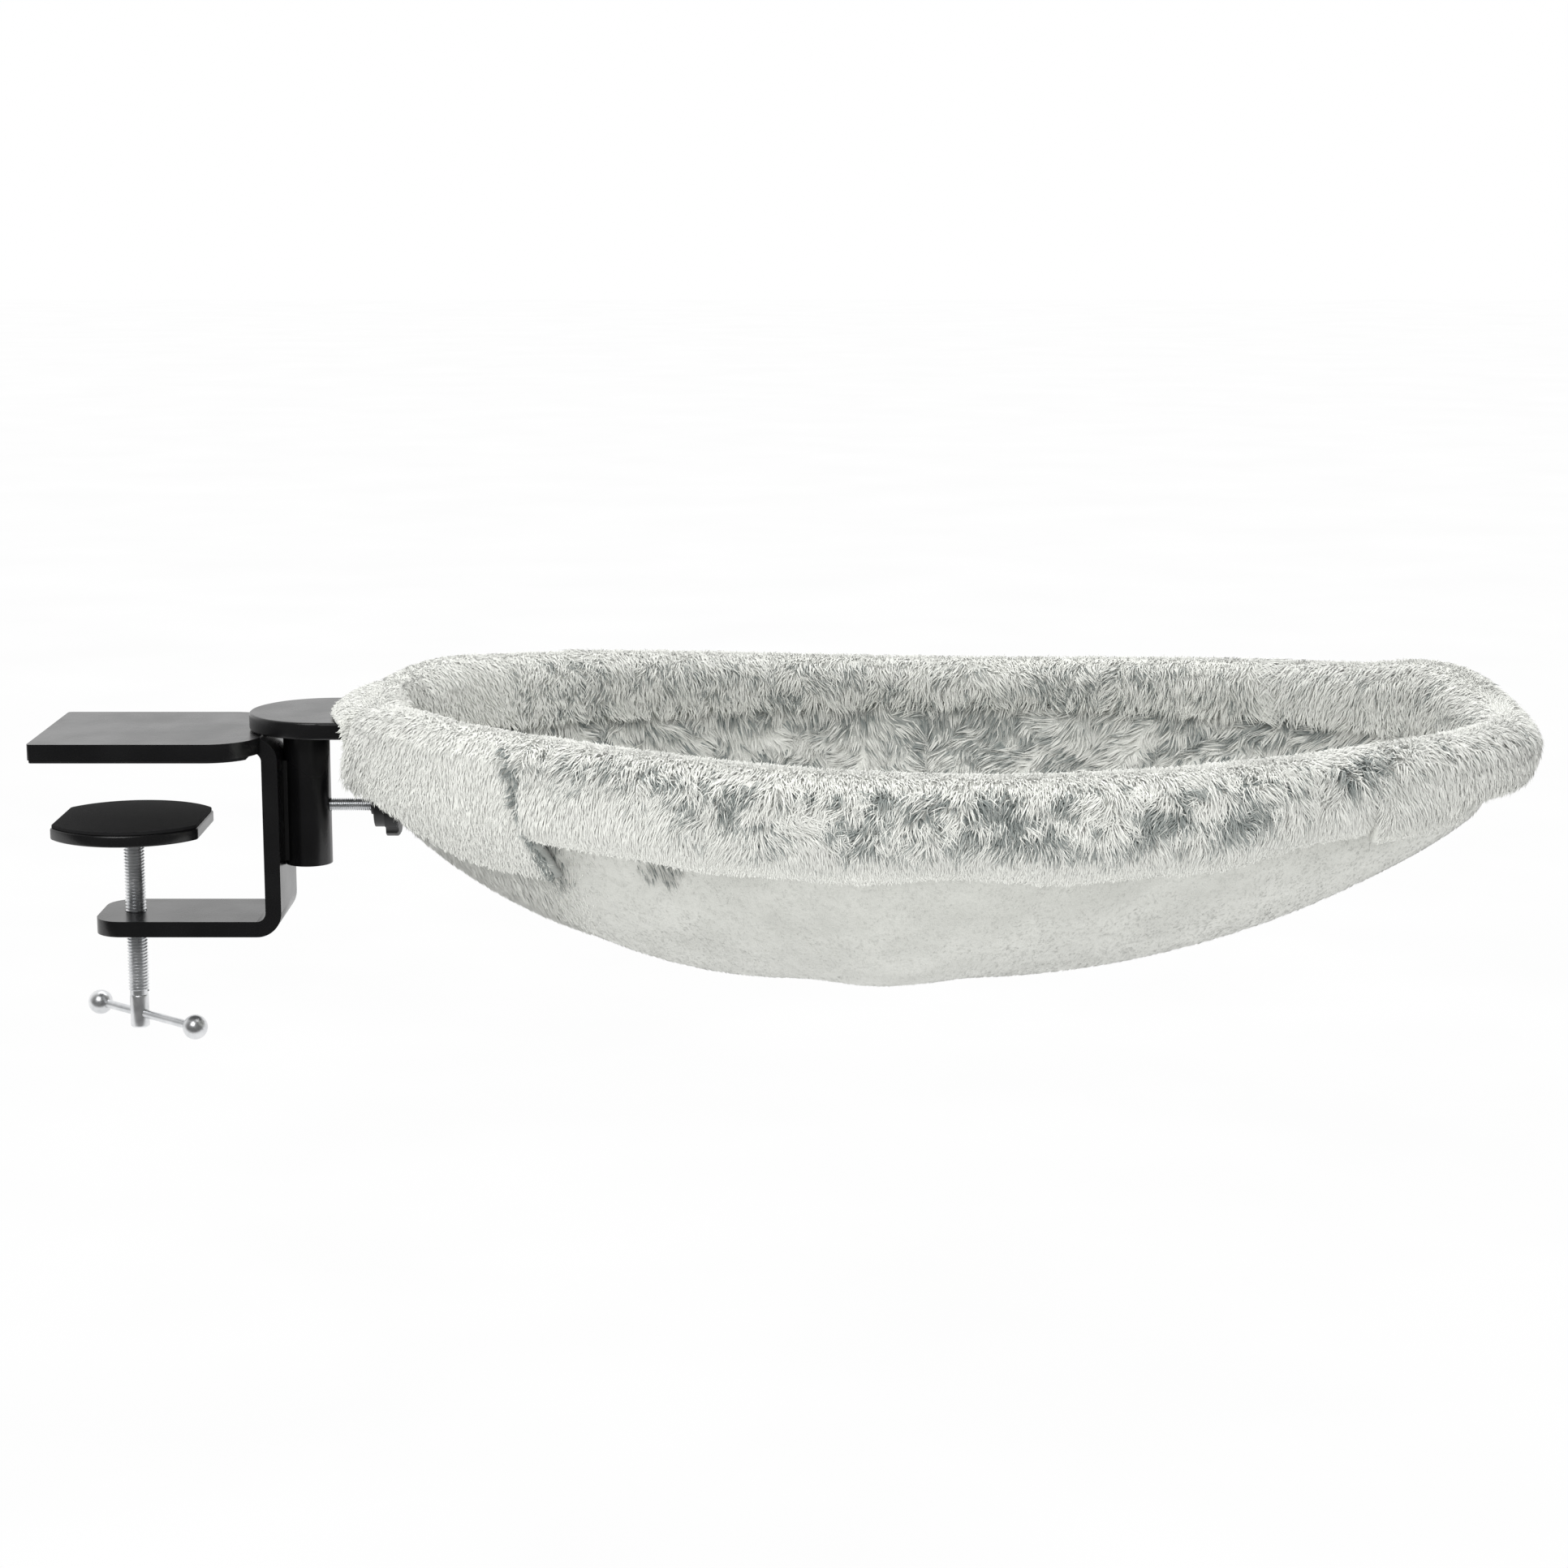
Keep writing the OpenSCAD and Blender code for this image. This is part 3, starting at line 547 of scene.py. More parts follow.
# How the flaps hang. OUT, IN, DROP and REACH are millimetres; START, END and RUN are degrees from the arm.
ROLL_ANGLES = np.radians(np.arange(0, 181, 30))
CURVE_STEPS = 5
ROLL_WAVE_OUT, ROLL_WAVES, HEM_WAVE_SHARE = 1.2, 8, 0.4
BULGE_OUT, HEM_BULGE_SHARE, ROLL_BULGE_SHARE = 3.5, 0.3, 0.35
MIDDLE_SHARE = 0.45
INNER_DROP = 6.0
# Side flaps: their hems rise to the ends, ripple and are drawn in a little; a ripple is a height and a count
# round the hoop
SIDE_RISE_SHARE = 0.35
SIDE_TUCK_SHARE = 0.25
RIPPLE_START, RIPPLE_RUN = 62.0, 12.0
RIPPLES = ((1.3, 13), (0.8, 29))
# End flaps: short at the arm and at the far end, and drawn down and in beside the seams of the arm end
ARM_RISE_SHARE, FAR_RISE_SHARE = 0.7, 0.4
SEAM_DROP = 16.0
TUCK_START, TUCK_RUN = 28.0, 30.0
HEM_TUCK_IN, MIDDLE_TUCK_IN = 20.5, 8.0
FAR_RUN = 20.0
HEM_FAR_IN, MIDDLE_FAR_IN = 7.0, 3.0
# Over the arm the flap lies flat and ends in a rounded edge
SLOT_REACH, SLOT_EDGE_DROP = 4.0, 1.6
SLOT_HEM_SHARE, SLOT_MIDDLE_SHARE = 0.8, 0.3


def flap_controls(a, hem, r):
    """Points across a flap, as out and up: hem, middle, roll over the hoop and inner edge."""
    p, n = hoop_point(a)
    turn = from_arm(a)
    wave = ROLL_WAVE_OUT * sin_deg(ROLL_WAVES * a)
    far = past(turn, 180 - SIDE_FROM, FAR_RUN)
    if hem == END_HEM:
        tuck = past(turn, TUCK_START, TUCK_RUN) * (turn < SIDE_FROM)
        drop = hem * (1 - ARM_RISE_SHARE * arm_near(a) - FAR_RISE_SHARE * far) + SEAM_DROP * tuck
    else:
        rippled = past(turn, RIPPLE_START, RIPPLE_RUN)
        tuck = SIDE_TUCK_SHARE * rippled
        to_end = cos_deg(a) / cos_deg(SIDE_FROM)
        ripple = sum(size * sin_deg(count * a) for size, count in RIPPLES)
        drop = hem * (1 - SIDE_RISE_SHARE * to_end ** 2) + ripple * rippled
    is_outside = r > (FLAP_IN + FLAP_OUT) / 2
    thick = FLAP_T * is_outside
    over_arm = HOOP_R + ARM_T + ARM_CLEAR + thick
    slot = turn < SLOT_TURN
    hem_out = r + wave * HEM_WAVE_SHARE + BULGE_OUT * HEM_BULGE_SHARE - HEM_FAR_IN * far - HEM_TUCK_IN * tuck
    middle_out = r + wave + BULGE_OUT - MIDDLE_FAR_IN * far - MIDDLE_TUCK_IN * tuck
    rows = [(np.where(slot, FLAP_OUT + SLOT_REACH, hem_out),
             np.where(slot, over_arm - thick * SLOT_HEM_SHARE, -drop)),
            (np.where(slot, FLAP_OUT, middle_out),
             np.where(slot, over_arm - thick * SLOT_MIDDLE_SHARE, -drop * MIDDLE_SHARE))]
    up = rise(a)
    for t in ROLL_ANGLES:
        ahead = max(0, math.cos(t))
        rows.append((r * math.cos(t) + np.where(slot, 0.0, BULGE_OUT * ROLL_BULGE_SHARE * ahead),
                     np.where(slot, over_arm - is_outside * SLOT_EDGE_DROP * ahead, up + r * math.sin(t))))
    rows.append((np.full(len(a), -r), np.full(len(a), -INNER_DROP)))
    return np.stack([np.stack(row, -1) for row in rows], 1), p, n


def flap_surface(a, hem, r):
    c, p, n = flap_controls(a, hem, r)
    s = spline(c, CURVE_STEPS)
    xy = p[:, None, :] + n[:, None, :] * s[:, :, :1]
    return np.concatenate([xy, HOOP_Z + s[:, :, 1:]], -1)


# Grids to closed cloth
def grid_quads(rows, cols, close_cols=False, flip=False):
    q = []
    last = cols if close_cols else cols - 1
    for i in range(rows - 1):
        for j in range(last):
            k = (j + 1) % cols
            f = (i * cols + j, i * cols + k, (i + 1) * cols + k, (i + 1) * cols + j)
            q.append(f[::-1] if flip else f)
    return q


def mesh_object(name, verts, faces, mat, shade):
    me = bpy.data.meshes.new(name)
    me.from_pydata((np.asarray(verts) * MM).tolist(), [], faces)
    me.update()
    shades = me.attributes.new("shade", "FLOAT", "POINT")
    shades.data.foreach_set("value", np.asarray(shade, np.float32))
    me.polygons.foreach_set("use_smooth", np.ones(len(me.polygons), bool))
    obj = bpy.data.objects.new(name, me)
    bpy.context.scene.collection.objects.link(obj)
    paint(obj, mat)
    return obj


def cells(grid, close_cols=False):
    """Corner, two edges, normal and area of every cell of a grid of points."""
    g = np.concatenate([grid, grid[:, :1]], 1) if close_cols else grid
    c, du, dv = g[:-1, :-1], g[:-1, 1:] - g[:-1, :-1], g[1:, :-1] - g[:-1, :-1]
    n = np.cross(du, dv)
    area = np.linalg.norm(n, axis=-1)
    n = n / np.maximum(area, TINY)[..., None]
    return c, du, dv, n, area


def sheet_area(grid, close_cols=False):
    """A grid's area in square metres."""
    return cells(grid, close_cols)[-1].sum() * MM ** 2


# Pile: closed three-sided tapering strands in their own meshes, bent at mid or straight without it. They are
# coarser than real fibre, which is too fine to show.
SIDES = 3
ROOT_SHARE, MID_SHARE = 0.5, 0.42
FACES_CLOTH, FACES_ROUND = 0.85, 0.15
MAP_EDGE, MAP_STEP = 0.1, 0.4
BENT_LIMIT, STRAIGHT_LIMIT = 18000, 45000
DRAW_LEAST, DRAW_SPREAD = 0.7, 0.3
FUR_SHARE = 1.0


def strand_triangles(rings):
    """One strand's faces: its root, the bands between its rings and its tip."""
    per = SIDES * rings + 1
    tip = per - 1
    tri = [[0, 2, 1]]
    for k in range(SIDES):
        j = (k + 1) % SIDES
        if rings > 1:
            tri += [[k, j, SIDES + j], [k, SIDES + j, SIDES + k]]
        tri.append([tip - SIDES + k, tip - SIDES + j, tip])
    return np.array(tri), per


def pile_mesh(name, root, mid, tip, normal, width, shade_root, shade_tip, rng, mat):
    count = len(root)
    rings = [(root, ROOT_SHARE, shade_root)]
    if mid is not None:
        rings.append((mid, MID_SHARE, shade_root * 0.5 + shade_tip * 0.5))
    along = unit((tip if mid is None else mid) - root)
    side = unit(np.cross(along, rng.normal(size=(count, 3))))
    other = np.cross(along, side)
    tri, per = strand_triangles(len(rings))
    verts, facing, shade = np.empty((count, per, 3)), np.empty((count, per, 3)), np.empty((count, per))
    for r, (at, wide, tone) in enumerate(rings):
        for k in range(SIDES):
            t = 2 * math.pi * k / SIDES
            out = side * math.cos(t) + other * math.sin(t)
            verts[:, SIDES * r + k] = at + out * (width * wide)[:, None]
            facing[:, SIDES * r + k] = FACES_CLOTH * normal + FACES_ROUND * out
            shade[:, SIDES * r + k] = tone
    verts[:, -1], facing[:, -1], shade[:, -1] = tip, normal, shade_tip
    faces = (tri[None] + per * np.arange(count)[:, None, None]).reshape(-1, 3)
    me = bpy.data.meshes.new(name)
    me.vertices.add(count * per)
    me.vertices.foreach_set("co", (verts * MM).astype(np.float32).ravel())
    me.loops.add(len(faces) * 3)
    me.loops.foreach_set("vertex_index", faces.astype(np.int32).ravel())
    me.polygons.add(len(faces))
    me.polygons.foreach_set("loop_start", np.arange(0, len(faces) * 3, 3, dtype=np.int32))
    me.polygons.foreach_set("use_smooth", np.ones(len(faces), bool))
    shades = me.attributes.new("shade", "FLOAT", "POINT")
    shades.data.foreach_set("value", shade.astype(np.float32).ravel())
    # Each strand has its own small cell of the map
    per_side = int(math.ceil(math.sqrt(count)))
    cell = np.stack([np.arange(count) % per_side, np.arange(count) // per_side], -1)
    local = [[MAP_EDGE + MAP_STEP * k, MAP_EDGE + MAP_STEP * r]
             for r in range(len(rings)) for k in range(SIDES)]
    local.append([MAP_EDGE + MAP_STEP, 1 - MAP_EDGE])
    uv = (cell[:, None] + np.array(local)[None]) / per_side
    layer = me.uv_layers.new(name="OFBake")
    layer.data.foreach_set("uv", uv.reshape(-1, 2)[faces.ravel()].astype(np.float32).ravel())
    me.update(calc_edges=True)
    me.validate()
    # Light falls on the pile as on the cloth below it, which looks soft
    me.normals_split_custom_set_from_vertices(unit(facing.reshape(-1, 3)))
    obj = bpy.data.objects.new(name, me)
    bpy.context.scene.collection.objects.link(obj)
    paint(obj, mat)
    return obj


def pile_pieces(name, slot, root, mid, tip, normal, width, shade_root, shade_tip, rng):
    """The strands in pieces of under 200,000 triangles."""
    limit = STRAIGHT_LIMIT if mid is None else BENT_LIMIT
    mat = MAT["pile" if slot == "long_plush" else "short_pile"]
    pieces = []
    for k in range(0, len(root), limit):
        s = slice(k, min(k + limit, len(root)))
        fur = pile_mesh(f"{name}_{k // limit + 1}", root[s], None if mid is None else mid[s], tip[s],
                        normal[s], width[s], shade_root[s], shade_tip[s], rng, mat)
        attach(fur, "hammock")
        pieces.append(fur)
    return pieces


def scatter(grid, count, rng, close_cols=False, keep=None):
    """Random places on a grid's surface: points, normals, directions of the two edges, row and column."""
    c, du, dv, n, area = cells(grid, close_cols)
    if keep is not None:
        area = area * keep
    flat = area.ravel() / area.sum()
    pick = rng.choice(len(flat), size=count, p=flat)
    i, j = np.unravel_index(pick, area.shape)
    u, v = rng.random(count), rng.random(count)
    pts = c[i, j] + du[i, j] * u[:, None] + dv[i, j] * v[:, None]
    return pts, n[i, j], unit(du[i, j]), unit(dv[i, j]), i + v, j + u


def clumped(pts, tips, step, pull, rng):
    """Strand tips drawn towards the tip of the nearest clump leader, which is every step-th strand."""
    leaders = np.arange(0, len(pts), step)
    tree = kdtree.KDTree(len(leaders))
    for k, i in enumerate(leaders):
        tree.insert(pts[i], k)
    tree.balance()
    near = np.array([leaders[tree.find(p)[1]] for p in pts])
    draw = (pull * (DRAW_LEAST + DRAW_SPREAD * rng.random(len(pts))))[:, None]
    return tips * (1 - draw) + tips[near] * draw


# Where the dark roots show, and inside the pouch the painted shade with them. Patches are a size in
# millimetres, a strength and a step of the seed.
PATCHES = ((9.0, 0.5, 0), (4.5, 0.9, 5), (2.2, 0.9, 6))
PATCH_STRETCH = [0.6, 1.0, 1.0]
STRAND_SOFT = 0.3


def patchy(pts, seed):
    drawn = pts * PATCH_STRETCH
    total = 0.5
    for size, strength, step in PATCHES:
        total = total + strength * soft_noise(drawn, size, seed + step)
    return smooth(total)


def dark_strands(parting_and_shade, rng):
    """Dark strands stand among light ones, the denser the more the pile is parted and the deeper the painted
    shade.
    """
    return smooth((parting_and_shade - rng.random(len(parting_and_shade))) / STRAND_SOFT)


def towards_light(n, share):
    """Fur shades less from top to bottom than the cloth that it stands on."""
    return unit(n + [0.0, 0.0, share])


# The open pile of the flaps: START is where a change along X begins and RUN how long it is, both in
# millimetres, and LEVEL is the share of the way from the hem to the inner edge
BAND_START, BAND_START_RUN = 150.0, 12.0
BAND_FULL_START, BAND_FULL_RUN = 195.0, 45.0
BAND_END_START, BAND_END_RUN = 430.0, 70.0
BAND_FIRST, BAND_MORE, BAND_LESS, BAND_BACK = 0.48, 0.52, 0.75, 0.2
BAND_STRENGTH, BAND_WIDTH = 1.4, 0.145
BAND_LEVEL = 0.24
ARM_LEVEL_MORE, ARM_LEVEL_END, ARM_LEVEL_RUN = 0.1, 240.0, 60.0
FAR_LEVEL_MORE, FAR_LEVEL_START, FAR_LEVEL_RUN = 0.14, 390.0, 80.0
INNER_DARK, INNER_START, INNER_RUN = 0.6, 125.0, 30.0
INNER_FAR_LESS, INNER_FAR_START, INNER_FAR_RUN = 0.2, 380.0, 60.0
INNER_LEVEL, INNER_LEVEL_RUN = 0.6, 0.16


def pile_band(p, v):
    """How open the long pile lies: along the front of the roll, and on its inner face away from the arm,
    where the dark also paints the shadow of the front rim.
    """
    x, front = p[:, 0], p[:, 1] < 0
    along = (BAND_FIRST + BAND_MORE * past(x, BAND_FULL_START, BAND_FULL_RUN)
             - BAND_LESS * past(x, BAND_END_START, BAND_END_RUN))
    along = np.where(front, along * past(x, BAND_START, BAND_START_RUN), BAND_BACK)
    # Inner face: dark roots with painted shadow of the front rim
    inner = INNER_DARK - INNER_FAR_LESS * past(x, INNER_FAR_START, INNER_FAR_RUN)
    inner = inner * past(x, INNER_START, INNER_RUN)
    level = (BAND_LEVEL + ARM_LEVEL_MORE * before(x, ARM_LEVEL_END, ARM_LEVEL_RUN)
             + FAR_LEVEL_MORE * past(x, FAR_LEVEL_START, FAR_LEVEL_RUN))
    front_band = BAND_STRENGTH * along * bell(v - level, BAND_WIDTH)
    return front_band + inner * past(v, INNER_LEVEL, INNER_LEVEL_RUN)


# The crease at the seam between front and arm end is painted shade, with dark roots where the pile opens
# there; it leans towards the arm and widens to its foot
CREASE_LEAN, CREASE_LEAN_LEVEL, CREASE_SHIFT = 11.0, 0.45, 1.0
CREASE_WIDTH, CREASE_FOOT_WIDTH, CREASE_FOOT_LEVEL = 2.3, 3.7, 0.14
CREASE_TOP_LEVEL, CREASE_FADE = 0.44, 0.14
FRONT_FOOT_LEVEL, FRONT_FOOT_SHARE = 0.1, 0.5


def flap_opening(pts, v, along, length, seed, crease_at):
    """How open the pile lies, how far its dark roots and the painted shade of the crease show, and to which
    side the crease opens it.
    """
    level = np.maximum(v, FRONT_FOOT_LEVEL + FRONT_FOOT_SHARE * v) if crease_at == "start" else v
    from_seam = along if crease_at == "start" else along - length
    off = from_seam + CREASE_LEAN * smooth(level / CREASE_LEAN_LEVEL) - CREASE_SHIFT
    wide = CREASE_WIDTH + CREASE_FOOT_WIDTH * smooth(1 - level / CREASE_FOOT_LEVEL)
    crease = bell(off, wide) * before(v, CREASE_TOP_LEVEL, CREASE_FADE) * (crease_at != "none")
    band = np.clip(pile_band(pts, v) + crease, 0, 1)
    # Dark roots where the pile parts, and painted shade along the crease
    dark = np.clip(band * patchy(pts, seed) * (1 - crease) + crease, 0, 1)
    return band, dark, crease * np.sign(off)


# How the long pile of the flaps lies: noise sizes, reach and widths in millimetres, drift and swirl in
# radians, LEVEL as above, places over the arm and of the tufts in degrees past the slot, the rest as shares
FALL_LEVEL, FALL_RUN = 0.55, 0.12
DRIFT, DRIFT_SIZE = 0.4, 26.0
SWIRL, SWIRL_SIZE, SWIRL_SPREAD = 1.5, 7.0, 0.45
SEAM_REACH = 9.0
SEAM_LEAN, CREASE_OPEN = 1.1, 0.5
CREASE_LEAN_END, CREASE_LEAN_START = 1.3, 0.35
CREASE_HEM_LEVEL, CREASE_HEM_RUN = 0.16, 0.06
SIZE_LEAST, SIZE_SPREAD = 0.7, 0.4
ARM_HEM_SIZE, HEM_SIZE, HEM_SIZE_LEVEL = 0.85, 0.25, 0.12
SMOOTH_SIZE, OPEN_SIZE, DARK_LESS = 0.65, 0.35, 0.1
OVER_ARM_LESS, OVER_ARM_TURN, OVER_ARM_RUN = 0.6, 4.0, 6.0
OVER_ARM_LEVEL, OVER_ARM_FADE = 0.55, 0.25
TUFT_MORE, TUFT_TURN, TUFT_WIDTH = 0.7, 5.0, 4.0
TUFT_LEVEL, TUFT_FADE = 0.3, 0.15
LIFT, LIFT_SPREAD, LIFT_OPEN, LIFT_TUFT = 0.22, 0.16, 0.35, 0.5
MID_UP, MID_ALONG = 0.6, 0.33
TIP_UP, TIP_ALONG = 0.75, 0.85
CLUMP_STEP, CLUMP, CLUMP_OPEN = 30, 0.15, 0.3
TIP_STRAY = 0.3
STRAND_WIDTH, STRAND_WIDTH_SPREAD = 0.42, 0.22
ROOT_SUNK = 0.4
ROOT_SHADE, TIP_SHADE = 0.04, 0.7
END_LIT = 0.4


def flap_pile(name, outer, run, a, hem, strands, length, seed, crease_at):
    rng = np.random.default_rng(seed)
    count = int(strands * FUR_SHARE)
    rows, cols = outer.shape[:2]
    pts, n, across, along_hoop, row, col = scatter(outer, count, rng)
    n = -n if np.mean(n[:, 2]) < 0 else n
    v = col / (cols - 1)
    along = np.interp(row, np.arange(rows), run)
    band, parting_and_shade, open_to = flap_opening(pts, v, along, run[-1], seed, crease_at)
    # Pile falls away from the top of the roll on both sides and swirls where it parts
    fall = np.where(v < FALL_LEVEL, -1.0, 1.0) * smooth(np.abs(v - FALL_LEVEL) / FALL_RUN)
    swirl = SWIRL * soft_noise(pts, SWIRL_SIZE, seed + 2) + SWIRL_SPREAD * rng.normal(size=count)
    turn = soft_noise(pts, DRIFT_SIZE, seed + 1) * DRIFT + band * swirl
    down = across * fall[:, None]
    flow = down * np.cos(turn)[:, None] + along_hoop * np.sin(turn)[:, None]
    # The pile leans across the seams and away from the crease
    at_end = CREASE_LEAN_END * rng.random(count) * before(v, CREASE_HEM_LEVEL, CREASE_HEM_RUN)
    at_start = CREASE_LEAN_START * rng.random(count) if crease_at == "start" else 1
    over = (smooth(1 - (run[-1] - along) / SEAM_REACH) * (at_end if crease_at == "end" else 1)
            - smooth(1 - along / SEAM_REACH) * at_start)
    flow = flow + along_hoop * (SEAM_LEAN * over + CREASE_OPEN * open_to)[:, None]
    # Strands are short at the hem and over the arm, and long in open pile and in the tufts beside the slot
    at_hem = ARM_HEM_SIZE if crease_at == "end" else HEM_SIZE
    size = length * (SIZE_LEAST + SIZE_SPREAD * rng.random(count))
    size = size * (at_hem + (1 - at_hem) * smooth(v / HEM_SIZE_LEVEL))
    size = size * (SMOOTH_SIZE + OPEN_SIZE * band - DARK_LESS * parting_and_shade)
    past_slot = from_arm(np.interp(row, np.arange(rows), a)) - SLOT_TURN
    over_arm = before(past_slot, OVER_ARM_TURN, OVER_ARM_RUN) * before(v, OVER_ARM_LEVEL, OVER_ARM_FADE)
    tuft = bell(past_slot - TUFT_TURN, TUFT_WIDTH) * before(v, TUFT_LEVEL, TUFT_FADE)
    size = size * (1 - OVER_ARM_LESS * over_arm + TUFT_MORE * tuft)
    lift = LIFT + LIFT_SPREAD * rng.random(count) + LIFT_OPEN * band + LIFT_TUFT * tuft
    mid = pts + n * (size * lift * MID_UP)[:, None] + flow * (size * MID_ALONG)[:, None]
    tip = pts + n * (size * lift * TIP_UP)[:, None] + flow * (size * TIP_ALONG)[:, None]
    tip = clumped(pts, tip, CLUMP_STEP, CLUMP + CLUMP_OPEN * band, rng)
    tip += rng.normal(size=tip.shape) * TIP_STRAY
    dark = dark_strands(parting_and_shade, rng)
    width = STRAND_WIDTH + STRAND_WIDTH_SPREAD * rng.random(count)
    lit = towards_light(n, END_LIT) if hem == END_HEM else n
    return pile_pieces(f"{name}_pile", "long_plush", pts - n * ROOT_SUNK, mid, tip, lit, width,
                       ROOT_SHADE + (1 - ROOT_SHADE) * dark, TIP_SHADE * dark, rng)


# The flaps' cloth lies a little inside the solids' outer face, which leaves room for the pile
PILE_ROOM, HOOP_CLEAR = 1.0, 0.2
CLOTH_DARK = 0.6


def flap_faces(rows, cols):
    """Outer and inner face of a flap and the strips round its edge."""
    size = rows * cols
    faces = grid_quads(rows, cols) + [tuple(size + k for k in f) for f in grid_quads(rows, cols, flip=True)]
    for i in range(rows - 1):
        for j in (0, cols - 1):
            p, q = i * cols + j, (i + 1) * cols + j
            f = (p, q, size + q, size + p)
            faces.append(f if j == 0 else f[::-1])
    for j in range(cols - 1):
        for i in (0, rows - 1):
            p, q = i * cols + j, i * cols + j + 1
            f = (q, p, size + p, size + q)
            faces.append(f if i == 0 else f[::-1])
    return [f[::-1] for f in faces]


def flap_piece(name, node, a, hem, strands, length, seed, crease_at):
    outer = flap_surface(a, hem, FLAP_OUT - PILE_ROOM)
    inner = flap_surface(a, hem, FLAP_IN + HOOP_CLEAR)
    rows, cols = outer.shape[:2]
    steps = np.linalg.norm(np.diff(outer[:, cols // 2], axis=0), axis=1)
    run = np.concatenate([[0], np.cumsum(steps)])
    flat = outer.reshape(-1, 3)
    v = np.linspace(0, 1, cols)[None, :].repeat(rows, 0).ravel()
    # The cloth takes the dark roots and the painted shade of the crease, on its inner face too, so its cut
    # edges in the slit show painted shade
    dark = CLOTH_DARK * flap_opening(flat, v, run.repeat(cols), run[-1], seed, crease_at)[1]
    obj = mesh_object(name, np.concatenate([flat, inner.reshape(-1, 3)]), flap_faces(rows, cols),
                      MAT["cloth"], np.concatenate([dark, dark]))
    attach(obj, "hammock")
    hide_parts(node)
    fur = flap_pile(name, outer, run, a, hem, strands, length, seed, crease_at)
    return obj, fur, sheet_area(outer)


# The directions at which each flap is drawn; the arm-end flap has close steps at the slot's edges
SEAM_GAP = 0.02
SIDE_STEPS, FAR_STEPS, SLOT_STEPS, BESIDE_STEPS = 110, 90, 40, 34
SLOT_EDGE = 1.2
slot_step = math.degrees(SLOT_EDGE / END_R)
side_a = np.linspace(SIDE_FROM + SEAM_GAP, 180 - SIDE_FROM - SEAM_GAP, SIDE_STEPS)
beside = np.linspace(SLOT_TURN + slot_step, SIDE_FROM - SEAM_GAP, BESIDE_STEPS)
slot_half = SLOT_TURN - slot_step / 4
over_slot = np.linspace(180 - slot_half, 180 + slot_half, SLOT_STEPS)
arm_a = np.concatenate([180 - beside[::-1], over_slot, 180 + beside])
far_a = np.linspace(-SIDE_FROM + SEAM_GAP, SIDE_FROM - SEAM_GAP, FAR_STEPS)

# Piece, node, directions, hem, strands, their length, seed and the end that has the dark crease
FLAPS = [
    ("front_flap_cloth", "front_flap", 180 + side_a, SIDE_HEM, 42000, 9.0, 11, "start"),
    ("back_flap_cloth", "back_flap", side_a, SIDE_HEM, 27000, 9.0, 23, "none"),
    ("arm_end_flap_cloth", "arm_end_flap", arm_a, END_HEM, 28000, 6.0, 37, "end"),
    ("far_end_flap_cloth", "far_end_flap", far_a, END_HEM, 25000, 8.5, 41, "none")]
# Each flap: its cloth, its pile and the area of its outer face in square metres
for name, node, a, hem, strands, length, seed, crease_at in FLAPS:
    cloth, fur, area = flap_piece(name, node, a, hem, strands, length, seed, crease_at)


# The pouch and its lining: rings from the rim down to the low point, as shares of the hoop's outline
RIM_RING, FIRST_RING, LAST_RING, RING_STEPS = 0.965, 0.94, 0.012, 36
RINGS = np.concatenate([[RIM_RING], np.linspace(FIRST_RING, LAST_RING, RING_STEPS)])
END_COLUMNS, SIDE_COLUMNS = 40, 80
COLUMNS = np.concatenate([
    np.linspace(-TURN, TURN, END_COLUMNS, endpoint=False),
    np.linspace(TURN, 180 - TURN, SIDE_COLUMNS, endpoint=False),
    np.linspace(180 - TURN, 180 + TURN, END_COLUMNS, endpoint=False),
    np.linspace(180 + TURN, 360 - TURN, SIDE_COLUMNS, endpoint=False)])
RIM_OUT, RIM_GAP = 2.0, 0.4
DROP_IN_SHARE, ARM_IN = 0.6, 10.5
ARM_LOW, ARM_LOW_STEEP = 1.0, 2.0
SAG_POWER = 0.76
POUCH_WAVE, POUCH_WAVES = 1.2, 9
INSET_RIM_SHARE = 0.8


def layer_grid(inset, drop):
    """One face of the pouch, ring by ring: inset is how far in it lies, drop how much lower its rim is."""
    p, n = hoop_point(COLUMNS)
    near = arm_near(COLUMNS)
    step = RIM_OUT - inset - drop * DROP_IN_SHARE - ARM_IN * near
    low = np.maximum(drop, np.minimum(ARM_LOW, ARM_LOW_STEEP * near))
    rows = [np.concatenate([p + n * step[:, None], (HOOP_Z - HOOP_R - RIM_GAP - low)[:, None]], 1)]
    for s in RINGS:
        lean = s * s
        xy = np.array([LOW_X, 0]) + (p - [LOW_X, 0]) * s - n * inset * lean
        sag = POUCH_DROP + (POUCH_DEPTH - POUCH_DROP) * (1 - lean) ** SAG_POWER
        wave = POUCH_WAVE * sin_deg(POUCH_WAVES * COLUMNS) * s * (1 - s) * 4
        z = HOOP_Z - sag + inset * (1 - lean * INSET_RIM_SHARE) + wave
        from_pivot = xy - [PIVOT_X, 0]
        far = np.linalg.norm(from_pivot, axis=1)
        reach = KNOB_CLEAR + inset
        xy = np.where((far < reach)[:, None], [PIVOT_X, 0] + from_pivot * (reach / far)[:, None], xy)
        rows.append(np.concatenate([xy, z[:, None]], 1))
    return np.stack(rows)


def layer_low(inset):
    return np.array([[LOW_X, 0, HOOP_Z - POUCH_DEPTH + inset]])


# Dark roots, with painted shadow of the front rim on the back wall, show in the upper part of the lining,
# from DARK_FROM over DARK_RUN, both as shares of the depth
DARK_FROM, DARK_RUN = 0.35, 0.4
MOTTLE_SIZE, MOTTLE_MEAN, MOTTLE_STRENGTH = 16.0, 0.45, 0.9


def upper_part(points):
    height = (points[:, 2] - (HOOP_Z - POUCH_DEPTH)) / POUCH_DEPTH
    return past(height, DARK_FROM, DARK_RUN)


